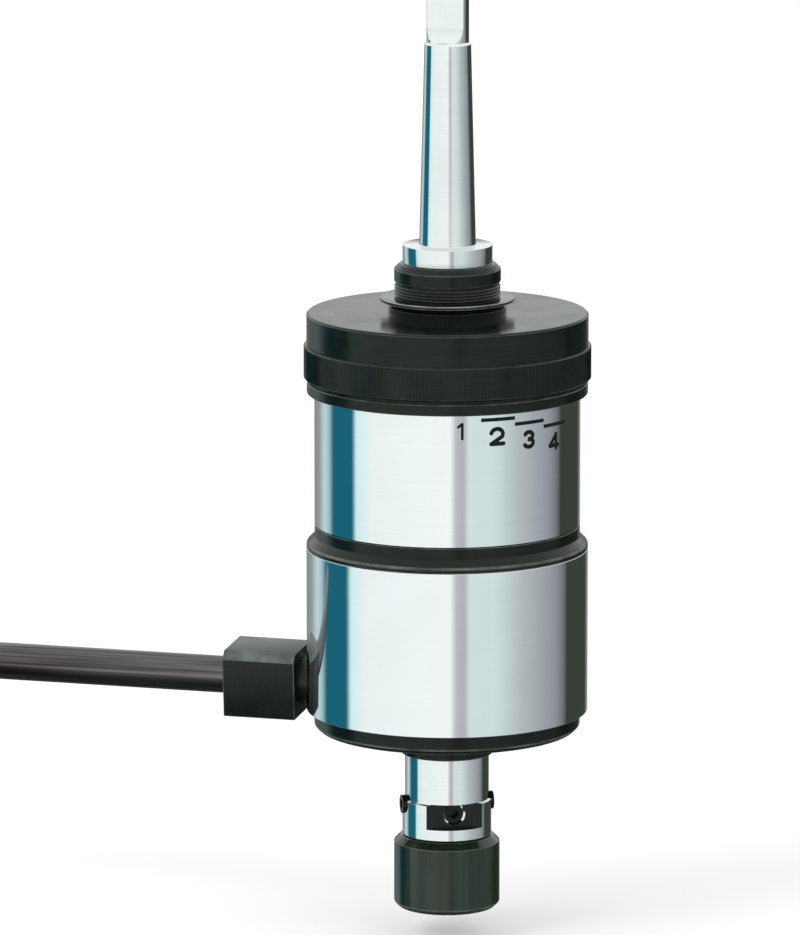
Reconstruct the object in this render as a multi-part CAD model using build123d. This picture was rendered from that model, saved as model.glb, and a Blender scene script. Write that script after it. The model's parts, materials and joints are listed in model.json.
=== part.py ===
from build123d import *
import os
from math import acos, cos, degrees, radians, sin, sqrt, tan

# Self-reversing tapping head with a torque-setting cap and a stationary torque arm.
# Millimetres, +Z up along the spindle axis, origin on the gauge line of the taper shank.
# The torque arm points along -X. Angles in the XY plane are degrees from +X.

# Taper shank, Morse number 2 with tang
gauge_d = 17.780
taper_rate = 1 / 20.020
gauge_to_collar = 5.0
shank_len = 80.0
tang_len = 16.0
tang_d = 13.5
tang_thick = 6.3
tang_cutter_r = 6.0

# Ground collar and the spigot that carries the head
collar_r = 14.3
collar_h = 6.0
collar_chamfer = 0.4
spigot_r = 8.0
spigot_len = 45.0
drive_pin_r = 2.5
drive_pin_up = 6.0
drive_pin_short = 0.3
shank_chamfer = 1.0

# Black neck above the cap
neck_r = 16.5
neck_ring_step = 0.5
neck_ring_h = 5.8
neck_ring_chamfer = 1.8
neck_thread_step = 4.5
neck_groove_depth = 0.5
neck_groove_h = 0.7
neck_to_clip = 4.3
clip_proud = 5.0
clip_t = 1.2
clip_groove_depth = 1.2
clip_gap_angle = 50.0
clip_gap_w = 6.0
clip_to_cap = 5.1

# Torque-setting cap, whose radii follow the barrel
cap_band_step = 0.9
cap_band_h = 10.3
cap_plate_t = 5.0
cap_chamfer = 0.6
cap_bore_gap = 0.3
cap_hub_step = 2.3
cap_hub_h = 2.6
cap_hub_chamfer = 0.5
grip_t = 1.8
grip_h = 10.9
grip_chamfer = 0.7
rim_groove_h = 0.9
rim_t = 2.2
rim_h = 3.6
rim_step = 0.8
rim_gap = 0.2
cap_thread_step = 1.9
cap_thread_h = 12.8
thread_gap = 0.1

# Travel of the cap: scale marks 1 to 4, one step apart, at rest between 1 and 2
scale_step = 2.0
scale_marks = 4
setting_at_rest = 1.1
cap_stop_gap = 0.8

# Barrel and friction clutch
barrel_show_h = 42.3
barrel_wall = 6.4
barrel_floor_t = 8.0
barrel_skirt_t = 6.1
key_count = 3
key_w = 6.0
key_depth = 1.7
key_gap = 0.1
cup_t = 3.0
cup_skirt_h = 8.8
cup_lug_h = 4.0
slide_gap = 0.2
face_gap = 0.05
disc_count = 8
disc_h = 3.0
disc_t = 1.2
disc_clear = 3.5
disc_room = 0.8
plate_t = 4.8
lining_t = 2.0
lining_room = 2.0
plate_clear = 1.0
flange_t = 5.0
flange_room = 1.5
pilot_r = 10.0
pilot_len = 9.0
pilot_relief = 1.0
bush_wall = 3.0
run_gap = 0.03

# Main bearing between barrel and housing
main_section = 9.0
main_step = 1.0
main_w = 10.0
main_drop = 3.0
ring_wall = 2.45
roller_gap = 0.05
roller_count = 14
roller_len = 7.0
hub_step = 3.0
bearing_clip_w = 2.0
bearing_clip_gap = 10.0
journal_len = 11.5

# Planetary reversing gears
gear_module = 1.25
pressure_angle = 25.0
ring_teeth = 54
planet_teeth = 12
sun_teeth = 30
planet_count = 3
addendum = 0.85
dedendum = 1.2
backlash = 0.12
gear_w = 12.0
web_t = 3.5
ring_gear_wall = 2.65
ring_gear_chamfer = 2.0
web_land = 6.0
planet_pin_r = 3.0
pin_head_r = 5.0
pin_head_t = 1.2
thrust_gap = 0.3
carrier_t = 6.7
sun_hub_r = 15.0
sun_bore_gap = 0.6
sun_collar_step = 0.5
ring_screw_count = 6
ring_screw_r = 1.5
ring_screw_head_r = 2.6
ring_screw_head_t = 2.0
ring_screw_reach = 5.0
ring_screw_spare = 1.0
ring_screw_angle = 30.0

# Double cone clutch on the tap spindle
float_travel = 3.0
cone_angle = 12.0
cone_gap = 0.05
forward_r = 19.0
forward_len = 9.0
forward_land = 0.5
reverse_r = 14.6
reverse_len = 4.5
cone_relief = 1.0
cone_mid_len = 0.5
stem_r = 8.0
stem_len = 13.0
cone_seat_r = 8.5
shaft_r = 10.0
float_disc_count = 3
float_disc_h = 1.6
float_disc_t = 0.8
float_disc_r = 17.0
float_disc_gap = 0.5
lower_disc_count = 4
lower_disc_h = 1.55
lower_disc_r = 16.5
lower_disc_gap = 0.8
spring_ring_r = 14.0
spring_ring_t = 1.5
spring_ring_depth = 0.6

# Gear housing, chrome sleeve and bottom cover, whose radii follow the ring gear
gear_room = 2.1
housing_wall = 2.9
housing_neck_h = 3.6
housing_gap = 0.3
shoulder_step = 2.6
shoulder_run = 2.5
shoulder_band_h = 1.6
sleeve_t = 2.1
sleeve_h = 52.8
housing_lip = 2.1
cover_step = 2.4
cover_flange_h = 6.2
cover_chamfer = 1.5
cover_wall = 7.0
boss_wall = 1.3
boss_h = 8.3
boss_bore_gap = 0.1
cover_step_t = 1.0
spanner_hole_r = 2.5
spanner_hole_depth = 4.0
spanner_inset = 9.6
spanner_angle = 90.0

# Bottom bearing and the sliding guide of the tap spindle
guide_wall = 4.0
bearing_section = 10.0
bearing_w = 10.0
bearing_floor_t = 5.75
ball_count = 8
ball_gap = 0.04
race_wall = 2.8
race_depth = 0.8
guide_flange_step = 2.0
guide_flange_t = 1.0
guide_tail = 1.0
guide_key_w = 4.0
guide_key_len = 4.0
guide_key_h = 3.5
guide_key_out = 1.5
seal_t = 3.0
seal_width = 4.5
seal_drop = 0.4

# Tap spindle below the boss
spindle_r = 13.5
spindle_show_h = 14.6
head_step = 0.8
head_run = 1.4
head_h = 12.1
head_chamfer = 0.5
flat_across = 22.0
flat_h = 7.0
flat_angle = -62.0
nose_step = 1.0
nose_len = 15.0
bore_r = 6.5
bore_above_head = 5.0
drill_angle = 31.0
screw_r = 3.0
screw_tip_r = 4.5
screw_stagger = 1.6
screw_recess = 0.5
screw_stand = 0.7
screw_count = 4
socket_across = 3.0
socket_depth = 2.5
screw_countersink = 0.7

# Collet and collet nut
nut_wall = 4.5
nut_h = 23.7
nut_top_chamfer = 2.1
nut_low_chamfer = 1.6
nut_face_gap = 0.1
collet_angle = 8.0
nose_wall = 2.1
collet_len = 23.5
collet_front_len = 1.0
collet_front_angle = 30.0
collet_front_h = 4.5
collet_bore_r = 4.5
collet_gap = 0.05
collet_slots = 6
collet_slot_w = 0.8
collet_slot_end = 4.0
collet_seat_relief = 1.0

# Torque arm
arm_angle = 180.0
arm_rise = 6.45
block_len = 24.0
block_w = 22.0
block_h = 21.6
block_roll = 4.0
block_bevel = 2.5
block_stand = 3.0
root_r = 8.0
root_gap = 0.1
rod_r = 6.0
rod_free = 150.0
rod_in_block = 14.5
rod_thread_r = 5.2
rod_chamfer = 1.0
arm_bolt_r = 3.0
arm_bolt_head_r = 5.0
arm_bolt_head_h = 6.0
arm_bolt_reach = 10.0
arm_bolt_spare = 1.0
arm_bolt_socket = 5.0
arm_bolt_socket_depth = 3.0
hole_gap = 0.1

# Small edges, and how far a cut runs past the face that it opens
edge_break = 0.5
overcut = 1.0


# Radii of the gear train, and outward from it to the housing, the barrel and the cap
ring_pitch_r = gear_module * ring_teeth / 2
planet_pitch_r = gear_module * planet_teeth / 2
sun_pitch_r = gear_module * sun_teeth / 2
planet_circle_r = sun_pitch_r + planet_pitch_r
ring_gear_r = ring_pitch_r + dedendum * gear_module + ring_gear_wall
cover_bore_r = ring_gear_r + gear_room
housing_r = cover_bore_r + housing_wall
sleeve_r = housing_r + sleeve_t
cover_r = sleeve_r - cover_step
cover_chamber_r = cover_bore_r - cover_wall
spanner_circle_r = cover_r - spanner_inset
main_out_r = cover_bore_r - main_step
housing_lip_in_r = main_out_r - housing_lip
journal_r = main_out_r - main_section
hub_r = journal_r + hub_step
web_bore_r = journal_r - web_land
barrel_r = sleeve_r - shoulder_step
barrel_bore_r = barrel_r - barrel_wall
flange_r = barrel_bore_r - flange_room
lining_out_r = barrel_bore_r - lining_room
disc_out_r = barrel_bore_r - slide_gap - cup_t - disc_room
rim_r = barrel_r + rim_gap + rim_t
cap_skirt_r = rim_r - rim_step
cap_r = cap_skirt_r + cap_band_step
grip_r = cap_skirt_r + grip_t
cap_thread_r = barrel_r - cap_thread_step

# Radii that follow the neck
neck_ring_r = neck_r + neck_ring_step
neck_groove_r = neck_r - neck_groove_depth
neck_thread_r = neck_r - neck_thread_step
clip_r = neck_r + clip_proud
disc_in_r = neck_r + disc_clear
cap_hub_r = neck_r + cap_hub_step

# Radii that follow the tap spindle
boss_r = spindle_r + boss_wall
seal_r = spindle_r + seal_width
bearing_in_r = spindle_r + guide_wall
bearing_out_r = bearing_in_r + bearing_section
guide_flange_r = bearing_in_r + guide_flange_step
head_r = spindle_r + head_step
nose_r = spindle_r - nose_step
nut_r = nose_r + nut_wall
collet_mouth_r = nose_r - nose_wall

# Levels along the axis, each worked out from the one above
z_collar_top = -gauge_to_collar
z_collar_bot = z_collar_top - collar_h
z_spigot = z_collar_bot - spigot_len
z_drive_pin = z_spigot + drive_pin_up
z_ring_bot = z_collar_bot - neck_ring_h
z_neck_top = z_ring_bot - neck_groove_h
z_clip_top = z_neck_top - neck_to_clip
z_cap_top = z_clip_top - clip_to_cap
z_band_bot = z_cap_top - cap_band_h
z_grip_bot = z_band_bot - grip_h
z_rim_top = z_grip_bot - rim_groove_h
z_rim_bot = z_rim_top - rim_h
z_barrel_bot = z_rim_bot - barrel_show_h

cap_down = (scale_marks - setting_at_rest) * scale_step
z_cap_in = z_cap_top - cap_plate_t
z_barrel_top = z_cap_in - cap_down - cap_stop_gap
z_cap_thread_bot = z_cap_in - cap_thread_h
z_barrel_step = z_cap_thread_bot - cap_down - cap_stop_gap

z_cup_top = z_cap_in - face_gap
z_disc_top = z_cup_top - cup_t
z_plate_top = z_disc_top - disc_count * disc_h
z_plate_bot = z_plate_top - plate_t
z_flange_top = z_plate_bot - lining_t
z_flange_bot = z_flange_top - flange_t
z_floor_top = z_flange_bot - lining_t
z_floor_bot = z_floor_top - barrel_floor_t
z_pilot_bot = z_floor_top - pilot_len + lining_t
z_pilot_seat = z_pilot_bot - pilot_relief

z_main_top = z_barrel_bot - main_drop
z_main_bot = z_main_top - main_w
z_journal_bot = z_main_top - journal_len
z_web_bot = z_journal_bot - web_t
z_gear_top = z_web_bot - thrust_gap - pin_head_t - thrust_gap
z_gear_bot = z_gear_top - gear_w
z_carrier_top = z_gear_bot - thrust_gap
z_carrier_bot = z_carrier_top - carrier_t

# Cone clutch at its neutral place: free by the float travel from both mating cones
z_sun_top = z_gear_top + thrust_gap + pin_head_t + thrust_gap + float_travel / 2
z_reverse_bot = z_sun_top - reverse_len + float_travel
z_reverse_top = z_reverse_bot + reverse_len
z_forward_bot = z_reverse_top + cone_mid_len + forward_land
z_cone_top = z_forward_bot + forward_len
z_roof = z_cone_top + float_disc_count * float_disc_h
cone_slope = tan(radians(cone_angle))
z_stem_top = z_cone_top + stem_len

z_housing_top = z_barrel_bot - housing_gap
z_shoulder_top = z_housing_top - housing_neck_h
z_shoulder_bot = z_shoulder_top - shoulder_run
z_sleeve_top = z_shoulder_bot - shoulder_band_h
z_sleeve_bot = z_sleeve_top - sleeve_h
z_cover_bot = z_sleeve_bot - cover_flange_h
z_boss_bot = z_cover_bot - boss_h

z_bearing_bot = z_cover_bot + bearing_floor_t
z_bearing_top = z_bearing_bot + bearing_w
z_balls = (z_bearing_bot + z_bearing_top) / 2
ball_circle_r = (bearing_in_r + bearing_out_r) / 2
ball_r = (bearing_out_r - bearing_in_r) / 2 - race_wall + race_depth
z_guide_top = z_bearing_top + guide_flange_t
z_guide_bot = z_bearing_bot - guide_tail
z_seal_top = z_guide_bot - seal_drop
z_seal_bot = z_seal_top - seal_t
z_lower_disc_top = z_guide_top + lower_disc_count * lower_disc_h
z_spring_ring_top = z_lower_disc_top + spring_ring_t
z_guided_top = z_guide_top - float_travel - spring_ring_t

z_spindle_bot = z_boss_bot - spindle_show_h
z_head_bot = z_spindle_bot - head_h
z_flat_bot = z_spindle_bot - flat_h
z_screws = z_spindle_bot - flat_h / 2
z_bore_top = z_spindle_bot + bore_above_head
z_nut_bot = z_head_bot - nut_h
z_nut_top = z_head_bot - nut_face_gap
z_nose_bot = z_head_bot - nose_len
z_collet_top = z_head_bot + collet_front_len
z_collet_bot = z_collet_top - collet_len
z_collet_front = z_nose_bot - collet_front_len
z_collet_cone_bot = z_collet_front - collet_front_h

z_arm = z_sleeve_bot + arm_rise
block_start = sleeve_r + block_stand
block_end = block_start + block_len
bolt_seat = block_end - rod_in_block - arm_bolt_head_h - thrust_gap



def turned(*profile):
    """Solid of revolution about Z from (radius, height) points."""
    with BuildPart() as made:
        with BuildSketch(Plane.XZ):
            with BuildLine():
                Polyline(*profile, close=True)
            make_face()
        revolve(axis=Axis.Z)
    return made.part


def ring(inner, outer, low, high):
    """Plain ring between two heights."""
    return turned((inner, low), (outer, low), (outer, high), (inner, high))


def disc(radius, low, high):
    """Solid round plate between two heights."""
    return Pos(0, 0, low) * Cylinder(radius, high - low, align=(Align.CENTER, Align.CENTER, Align.MIN))


def rod_along(radius, start, end, height, angle):
    """Radial cylinder from one distance off the axis to another, at a height and angle."""
    place = Plane.XY.rotated((0, 0, angle)) * Pos(start, 0, height) * Rot(0, 90, 0)
    return place * Cylinder(radius, end - start, align=(Align.CENTER, Align.CENTER, Align.MIN))


def slab(low, high, width, z_low, z_high, angle):
    """Radial block between two distances off the axis."""
    size = Box(high - low, width, z_high - z_low, align=(Align.MIN, Align.CENTER, Align.MIN))
    return Rot(0, 0, angle) * Pos(low, 0, z_low) * size


def around(count, start=0.0):
    """Evenly spaced angles of a full turn."""
    return [start + 360 / count * index for index in range(count)]


def write(name, shape):
    """Export one node, whose solids may be one part or a group."""
    shape.label = name
    export_step(shape, f"parts/{name}.step")


def group(solids):
    """Several separate solids in one node."""
    return Compound(children=[solid.solid() for solid in solids])


# Gear outlines

def involute_angle(radius, base_r):
    """Angle that an involute has turned through where it reaches a radius."""
    if radius <= base_r:
        return 0.0
    roll = sqrt((radius / base_r) ** 2 - 1)
    return degrees(roll) - degrees(acos(base_r / radius))


def half_tooth(radius, pitch_r, teeth, play):
    """Half the angle of a tooth at a radius, with the play taken off at the pitch circle."""
    base_r = pitch_r * cos(radians(pressure_angle))
    at_pitch = 90 / teeth - degrees(play / 2 / pitch_r)
    return at_pitch + involute_angle(pitch_r, base_r) - involute_angle(radius, base_r)


def polar(radius, angle):
    return (radius * cos(radians(angle)), radius * sin(radians(angle)))


def gear_face(teeth, root_r, tip_r, play):
    """Closed outline of involute teeth, a tooth centred on +X."""
    pitch_r = gear_module * teeth / 2
    base_r = pitch_r * cos(radians(pressure_angle))
    low_r = max(min(root_r, tip_r), base_r)
    high_r = max(root_r, tip_r)
    middle_r = (low_r + high_r) / 2
    heights = [low_r, middle_r, high_r]
    if root_r < base_r:
        heights = [root_r] + heights
    rising = [(r, -half_tooth(r, pitch_r, teeth, play)) for r in heights]
    falling = [(r, -angle) for r, angle in reversed(rising)]
    with BuildSketch() as sketch:
        with BuildLine():
            outline = []
            for centre in around(teeth):
                outline += [polar(r, centre + angle) for r, angle in rising + falling]
            Polyline(*outline, close=True)
        make_face()
    return sketch.sketch


def outer_gear(teeth, low, high):
    """External gear blank with teeth, solid to its centre."""
    pitch_r = gear_module * teeth / 2
    outline = gear_face(teeth, pitch_r - dedendum * gear_module, pitch_r + addendum * gear_module, backlash)
    return Pos(0, 0, low) * extrude(outline, high - low)


# Driving side, turned by the machine spindle

def taper_arbor():
    large_r = gauge_d / 2 + gauge_to_collar * taper_rate / 2
    taper_end = shank_len - tang_len
    small_r = large_r - taper_end * taper_rate / 2
    tang_top = z_collar_top + shank_len
    tang_low = z_collar_top + taper_end
    body = turned(
        (0, z_spigot),
        (spigot_r - shank_chamfer, z_spigot),
        (spigot_r, z_spigot + shank_chamfer),
        (spigot_r, z_collar_bot),
        (collar_r - collar_chamfer, z_collar_bot),
        (collar_r, z_collar_bot + collar_chamfer),
        (collar_r, z_collar_top - collar_chamfer),
        (collar_r - collar_chamfer, z_collar_top),
        (large_r, z_collar_top),
        (small_r, tang_low),
        (tang_d / 2, tang_low + small_r - tang_d / 2),
        (tang_d / 2, tang_top - shank_chamfer),
        (tang_d / 2 - shank_chamfer, tang_top),
        (0, tang_top),
    )
    for side in (-1, 1):
        flat = Box(2 * tang_d, tang_d, tang_len - tang_cutter_r)
        flat = Pos(0, side * (tang_thick + tang_d) / 2, tang_top - (tang_len - tang_cutter_r) / 2) * flat
        runout = Cylinder(tang_cutter_r, 2 * tang_d, rotation=(0, 90, 0))
        runout = Pos(0, side * (tang_thick / 2 + tang_cutter_r), tang_top - tang_len + tang_cutter_r) * runout
        body -= flat
        body -= runout
    hole = rod_along(drive_pin_r, -collar_r, collar_r, z_drive_pin, 0)
    return body - hole


def drive_pin():
    reach = neck_r - drive_pin_short
    return rod_along(drive_pin_r, -reach, reach, z_drive_pin, 0)


def neck_ring():
    return turned(
        (neck_thread_r, z_ring_bot),
        (neck_ring_r, z_ring_bot),
        (neck_ring_r, z_collar_bot - neck_ring_chamfer),
        (neck_ring_r - neck_ring_chamfer, z_collar_bot),
        (neck_thread_r, z_collar_bot),
    )


def neck_circlip():
    """Open ring in the neck's groove, which keeps the cap on."""
    inner = neck_r - clip_groove_depth
    low = z_clip_top - clip_t
    body = ring(inner, clip_r, low, z_clip_top)
    body -= slab(0, clip_r + overcut, clip_gap_w, low - overcut, z_clip_top + overcut, clip_gap_angle)
    return body


def drive_spindle():
    z_clip_bot = z_clip_top - clip_t
    groove_r = neck_r - clip_groove_depth
    z_spigot_seat = z_spigot - thrust_gap
    body = turned(
        (spigot_r, z_collar_bot),
        (neck_thread_r, z_collar_bot),
        (neck_thread_r, z_ring_bot),
        (neck_groove_r, z_ring_bot),
        (neck_groove_r, z_neck_top),
        (neck_r, z_neck_top),
        (neck_r, z_clip_top),
        (groove_r, z_clip_top),
        (groove_r, z_clip_bot),
        (neck_r, z_clip_bot),
        (neck_r, z_flange_top),
        (flange_r, z_flange_top),
        (flange_r, z_flange_bot),
        (pilot_r, z_flange_bot),
        (pilot_r, z_pilot_bot),
        (0, z_pilot_bot),
        (0, z_spigot_seat),
        (spigot_r, z_spigot_seat),
    )
    return body - rod_along(drive_pin_r, -2 * neck_r, 2 * neck_r, z_drive_pin, 0)


def clutch_linings():
    upper = ring(disc_in_r, lining_out_r, z_flange_top, z_plate_bot)
    lower = ring(disc_in_r, lining_out_r, z_floor_top, z_flange_bot)
    return group([upper, lower])


# Torque-setting cap

def adjusting_cap():
    bore_r_cap = neck_r + cap_bore_gap
    inner = barrel_r + rim_gap
    z_hub_top = z_cap_top + cap_hub_h
    return turned(
        (bore_r_cap, z_hub_top),
        (cap_hub_r - cap_hub_chamfer, z_hub_top),
        (cap_hub_r, z_hub_top - cap_hub_chamfer),
        (cap_hub_r, z_cap_top),
        (cap_r - cap_chamfer, z_cap_top),
        (cap_r, z_cap_top - cap_chamfer),
        (cap_r, z_band_bot),
        (cap_skirt_r, z_band_bot),
        (cap_skirt_r, z_rim_top),
        (inner, z_rim_top),
        (inner, z_cap_thread_bot),
        (cap_thread_r, z_cap_thread_bot),
        (cap_thread_r, z_cap_in),
        (bore_r_cap, z_cap_in),
    )


def grip_ring():
    return turned(
        (cap_skirt_r, z_grip_bot),
        (grip_r - grip_chamfer, z_grip_bot),
        (grip_r, z_grip_bot + grip_chamfer),
        (grip_r, z_band_bot - grip_chamfer / 2),
        (grip_r - grip_chamfer / 2, z_band_bot),
        (cap_skirt_r, z_band_bot),
    )


def index_rim():
    return ring(barrel_r + rim_gap, rim_r, z_rim_bot, z_rim_top)


# Barrel and clutch pieces

def keyed(body, low, high):
    """Adds the lugs that run in the barrel's keyways."""
    for angle in around(key_count):
        reach = barrel_bore_r + key_depth - key_gap
        lug = slab(barrel_bore_r - cup_t, reach, key_w - 2 * key_gap, low, high, angle)
        body += lug
    return body


def spring_cup():
    outer = barrel_bore_r - slide_gap
    z_skirt = z_disc_top - cup_skirt_h
    body = turned(
        (neck_r + slide_gap + cap_bore_gap, z_cup_top),
        (outer, z_cup_top),
        (outer, z_skirt),
        (outer - cup_t, z_skirt),
        (outer - cup_t, z_disc_top),
        (neck_r + slide_gap + cap_bore_gap, z_disc_top),
    )
    return keyed(body, z_skirt, z_skirt + cup_lug_h)


def cone_disc(inner, outer, thick, height, low, tip_up):
    """One conical spring washer."""
    rise = height - thick
    at_inner, at_outer = (rise, 0) if tip_up else (0, rise)
    return turned(
        (inner, low + at_inner),
        (outer, low + at_outer),
        (outer, low + at_outer + thick),
        (inner, low + at_inner + thick),
    )


def disc_stack(count, inner, outer, thick, height, low):
    discs = []
    for index in range(count):
        discs.append(cone_disc(inner, outer, thick, height, low + index * height, index % 2 == 0))
    return group(discs)


def pressure_plate():
    body = ring(neck_r + plate_clear, barrel_bore_r - slide_gap, z_plate_bot, z_plate_top)
    return keyed(body, z_plate_bot, z_plate_top)


def forward_radius(height):
    """Radius of the barrel's driving cone at a height."""
    return forward_r + (z_cone_top + float_travel - height) * cone_slope + cone_gap


def clutch_barrel():
    thread_outer = cap_thread_r - thread_gap
    seat_r = pilot_r + bush_wall
    stem_seat_r = stem_r + bush_wall
    z_cone_start = z_roof - cone_relief
    body = turned(
        (barrel_bore_r, z_barrel_top),
        (thread_outer - edge_break, z_barrel_top),
        (thread_outer, z_barrel_top - edge_break),
        (thread_outer, z_barrel_step),
        (barrel_r, z_barrel_step),
        (barrel_r, z_barrel_bot),
        (barrel_r - barrel_skirt_t, z_barrel_bot),
        (barrel_r - barrel_skirt_t, z_floor_bot),
        (hub_r, z_floor_bot),
        (hub_r, z_main_top),
        (journal_r, z_main_top),
        (journal_r, z_journal_bot),
        (forward_radius(z_journal_bot), z_journal_bot),
        (forward_radius(z_cone_start), z_cone_start),
        (forward_radius(z_cone_start), z_roof),
        (stem_seat_r, z_roof),
        (stem_seat_r, z_pilot_seat),
        (seat_r, z_pilot_seat),
        (seat_r, z_floor_top),
        (barrel_bore_r, z_floor_top),
    )
    for angle in around(key_count):
        low = barrel_bore_r - overcut
        body -= slab(low, barrel_bore_r + key_depth, key_w, z_floor_top, z_barrel_top + overcut, angle)
    for place in ring_screw_places():
        z_hole_top = z_journal_bot + ring_screw_reach + ring_screw_spare
        body -= place * disc(ring_screw_r, z_journal_bot, z_hole_top)
    return body


def pilot_bush():
    return ring(pilot_r + run_gap, pilot_r + bush_wall, z_pilot_seat, z_floor_top)


def stem_bush():
    return ring(stem_r + run_gap, stem_r + bush_wall, z_roof, z_pilot_seat)


def ring_gear():
    root_r = ring_pitch_r + dedendum * gear_module
    tip_r = ring_pitch_r - addendum * gear_module
    body = turned(
        (web_bore_r, z_journal_bot),
        (journal_r, z_journal_bot),
        (journal_r, z_main_bot),
        (hub_r, z_main_bot),
        (hub_r, z_journal_bot),
        (ring_gear_r - ring_gear_chamfer, z_journal_bot),
        (ring_gear_r, z_journal_bot - ring_gear_chamfer),
        (ring_gear_r, z_gear_bot),
        (tip_r - overcut, z_gear_bot),
        (tip_r - overcut, z_web_bot),
        (web_bore_r, z_web_bot),
    )
    # The spaces between the ring's teeth are the teeth of a gear of the same pitch
    spaces = gear_face(ring_teeth, tip_r, root_r, -backlash)
    body -= Pos(0, 0, z_gear_bot) * extrude(spaces, z_web_bot - z_gear_bot)
    for place in ring_screw_places():
        body -= place * disc(ring_screw_r, z_web_bot, z_journal_bot)
        body -= place * disc(ring_screw_head_r, z_web_bot, z_web_bot + ring_screw_head_t)
    return body


def ring_screw_places():
    """Where the screws hold the ring gear's web to the end of the journal."""
    circle_r = (web_bore_r + journal_r) / 2
    return [Rot(0, 0, angle) * Pos(circle_r, 0, 0) for angle in around(ring_screw_count, ring_screw_angle)]


def ring_gear_screws():
    screw = disc(ring_screw_head_r, z_web_bot, z_web_bot + ring_screw_head_t)
    screw += disc(ring_screw_r, z_web_bot, z_journal_bot + ring_screw_reach)
    return group([place * screw for place in ring_screw_places()])


def main_bearing_inner():
    return ring(journal_r, journal_r + ring_wall, z_main_bot, z_main_top)


def main_bearing_outer():
    return ring(main_out_r - ring_wall, main_out_r, z_main_bot, z_main_top)


def main_bearing_rollers():
    middle_r = (journal_r + main_out_r) / 2
    roller_r = (main_out_r - journal_r - 2 * ring_wall) / 2 - roller_gap
    rollers = []
    for angle in around(roller_count):
        place = Rot(0, 0, angle) * Pos(middle_r, 0, (z_main_top + z_main_bot) / 2)
        rollers.append(place * Cylinder(roller_r, roller_len))
    return group(rollers)


# Stationary housing

def gear_housing():
    body = turned(
        (housing_lip_in_r, z_housing_top),
        (barrel_r, z_housing_top),
        (barrel_r, z_shoulder_top),
        (sleeve_r, z_shoulder_bot),
        (sleeve_r, z_sleeve_top),
        (housing_r, z_sleeve_top),
        (housing_r, z_sleeve_bot),
        (cover_bore_r, z_sleeve_bot),
        (cover_bore_r, z_carrier_top),
        (main_out_r, z_carrier_top),
        (main_out_r, z_main_top),
        (housing_lip_in_r, z_main_top),
    )
    return body - rod_along(arm_bolt_r, cover_bore_r - overcut, sleeve_r, z_arm, arm_angle)


def outer_sleeve():
    body = ring(housing_r, sleeve_r, z_sleeve_bot, z_sleeve_top)
    start = housing_r - root_r / 2
    return body - rod_along(root_r + root_gap, start, sleeve_r + overcut, z_arm, arm_angle)


def bearing_circlip():
    """Keeps the main bearing's outer ring against the housing's lip."""
    body = ring(main_out_r - bearing_clip_w, main_out_r, z_main_bot - clip_t, z_main_bot)
    low = z_main_bot - clip_t - overcut
    return body - slab(0, main_out_r + overcut, bearing_clip_gap, low, z_main_bot + overcut, 90)


def planet_places():
    return [Rot(0, 0, angle) * Pos(planet_circle_r, 0, 0) for angle in around(planet_count)]


def planet_carrier():
    body = ring(sun_hub_r + bush_wall, cover_bore_r, z_carrier_bot, z_carrier_top)
    for place in planet_places():
        body -= place * disc(planet_pin_r, z_carrier_bot, z_carrier_top)
    return body


def carrier_bush():
    return ring(sun_hub_r + run_gap, sun_hub_r + bush_wall, z_carrier_bot, z_carrier_top)


def planet_pins():
    z_head = z_gear_top + thrust_gap
    pin = disc(planet_pin_r, z_carrier_bot, z_head) + disc(pin_head_r, z_head, z_head + pin_head_t)
    return group([place * pin for place in planet_places()])


def planet_gear(angle):
    """Planet on its pin, a tooth pointing away from the spindle and one towards it."""
    body = outer_gear(planet_teeth, z_gear_bot, z_gear_top)
    body -= disc(planet_pin_r + run_gap, z_gear_bot, z_gear_top)
    turn = angle - angle * ring_teeth / planet_teeth
    return Rot(0, 0, angle) * Pos(planet_circle_r, 0, 0) * Rot(0, 0, turn - angle) * body


def reverse_radius(height):
    """Radius of the sun gear's driving cone at a height."""
    return reverse_r - (z_reverse_top - float_travel - height) * cone_slope + cone_gap


def reverse_gear():
    """Sun gear with a cone on top and a hub that runs in the carrier's bush."""
    root_r = sun_pitch_r - dedendum * gear_module
    z_cone_low = z_reverse_bot - float_travel - cone_relief
    gear = Rot(0, 0, 180 / sun_teeth) * outer_gear(sun_teeth, z_gear_bot, z_gear_top)
    gear += disc(root_r - sun_collar_step, z_gear_top, z_sun_top)
    gear += disc(sun_hub_r, z_carrier_bot, z_gear_bot)
    gear -= turned(
        (0, z_carrier_bot),
        (shaft_r + sun_bore_gap, z_carrier_bot),
        (shaft_r + sun_bore_gap, z_cone_low),
        (reverse_radius(z_cone_low), z_cone_low),
        (reverse_radius(z_sun_top), z_sun_top),
        (0, z_sun_top),
    )
    return gear


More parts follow.
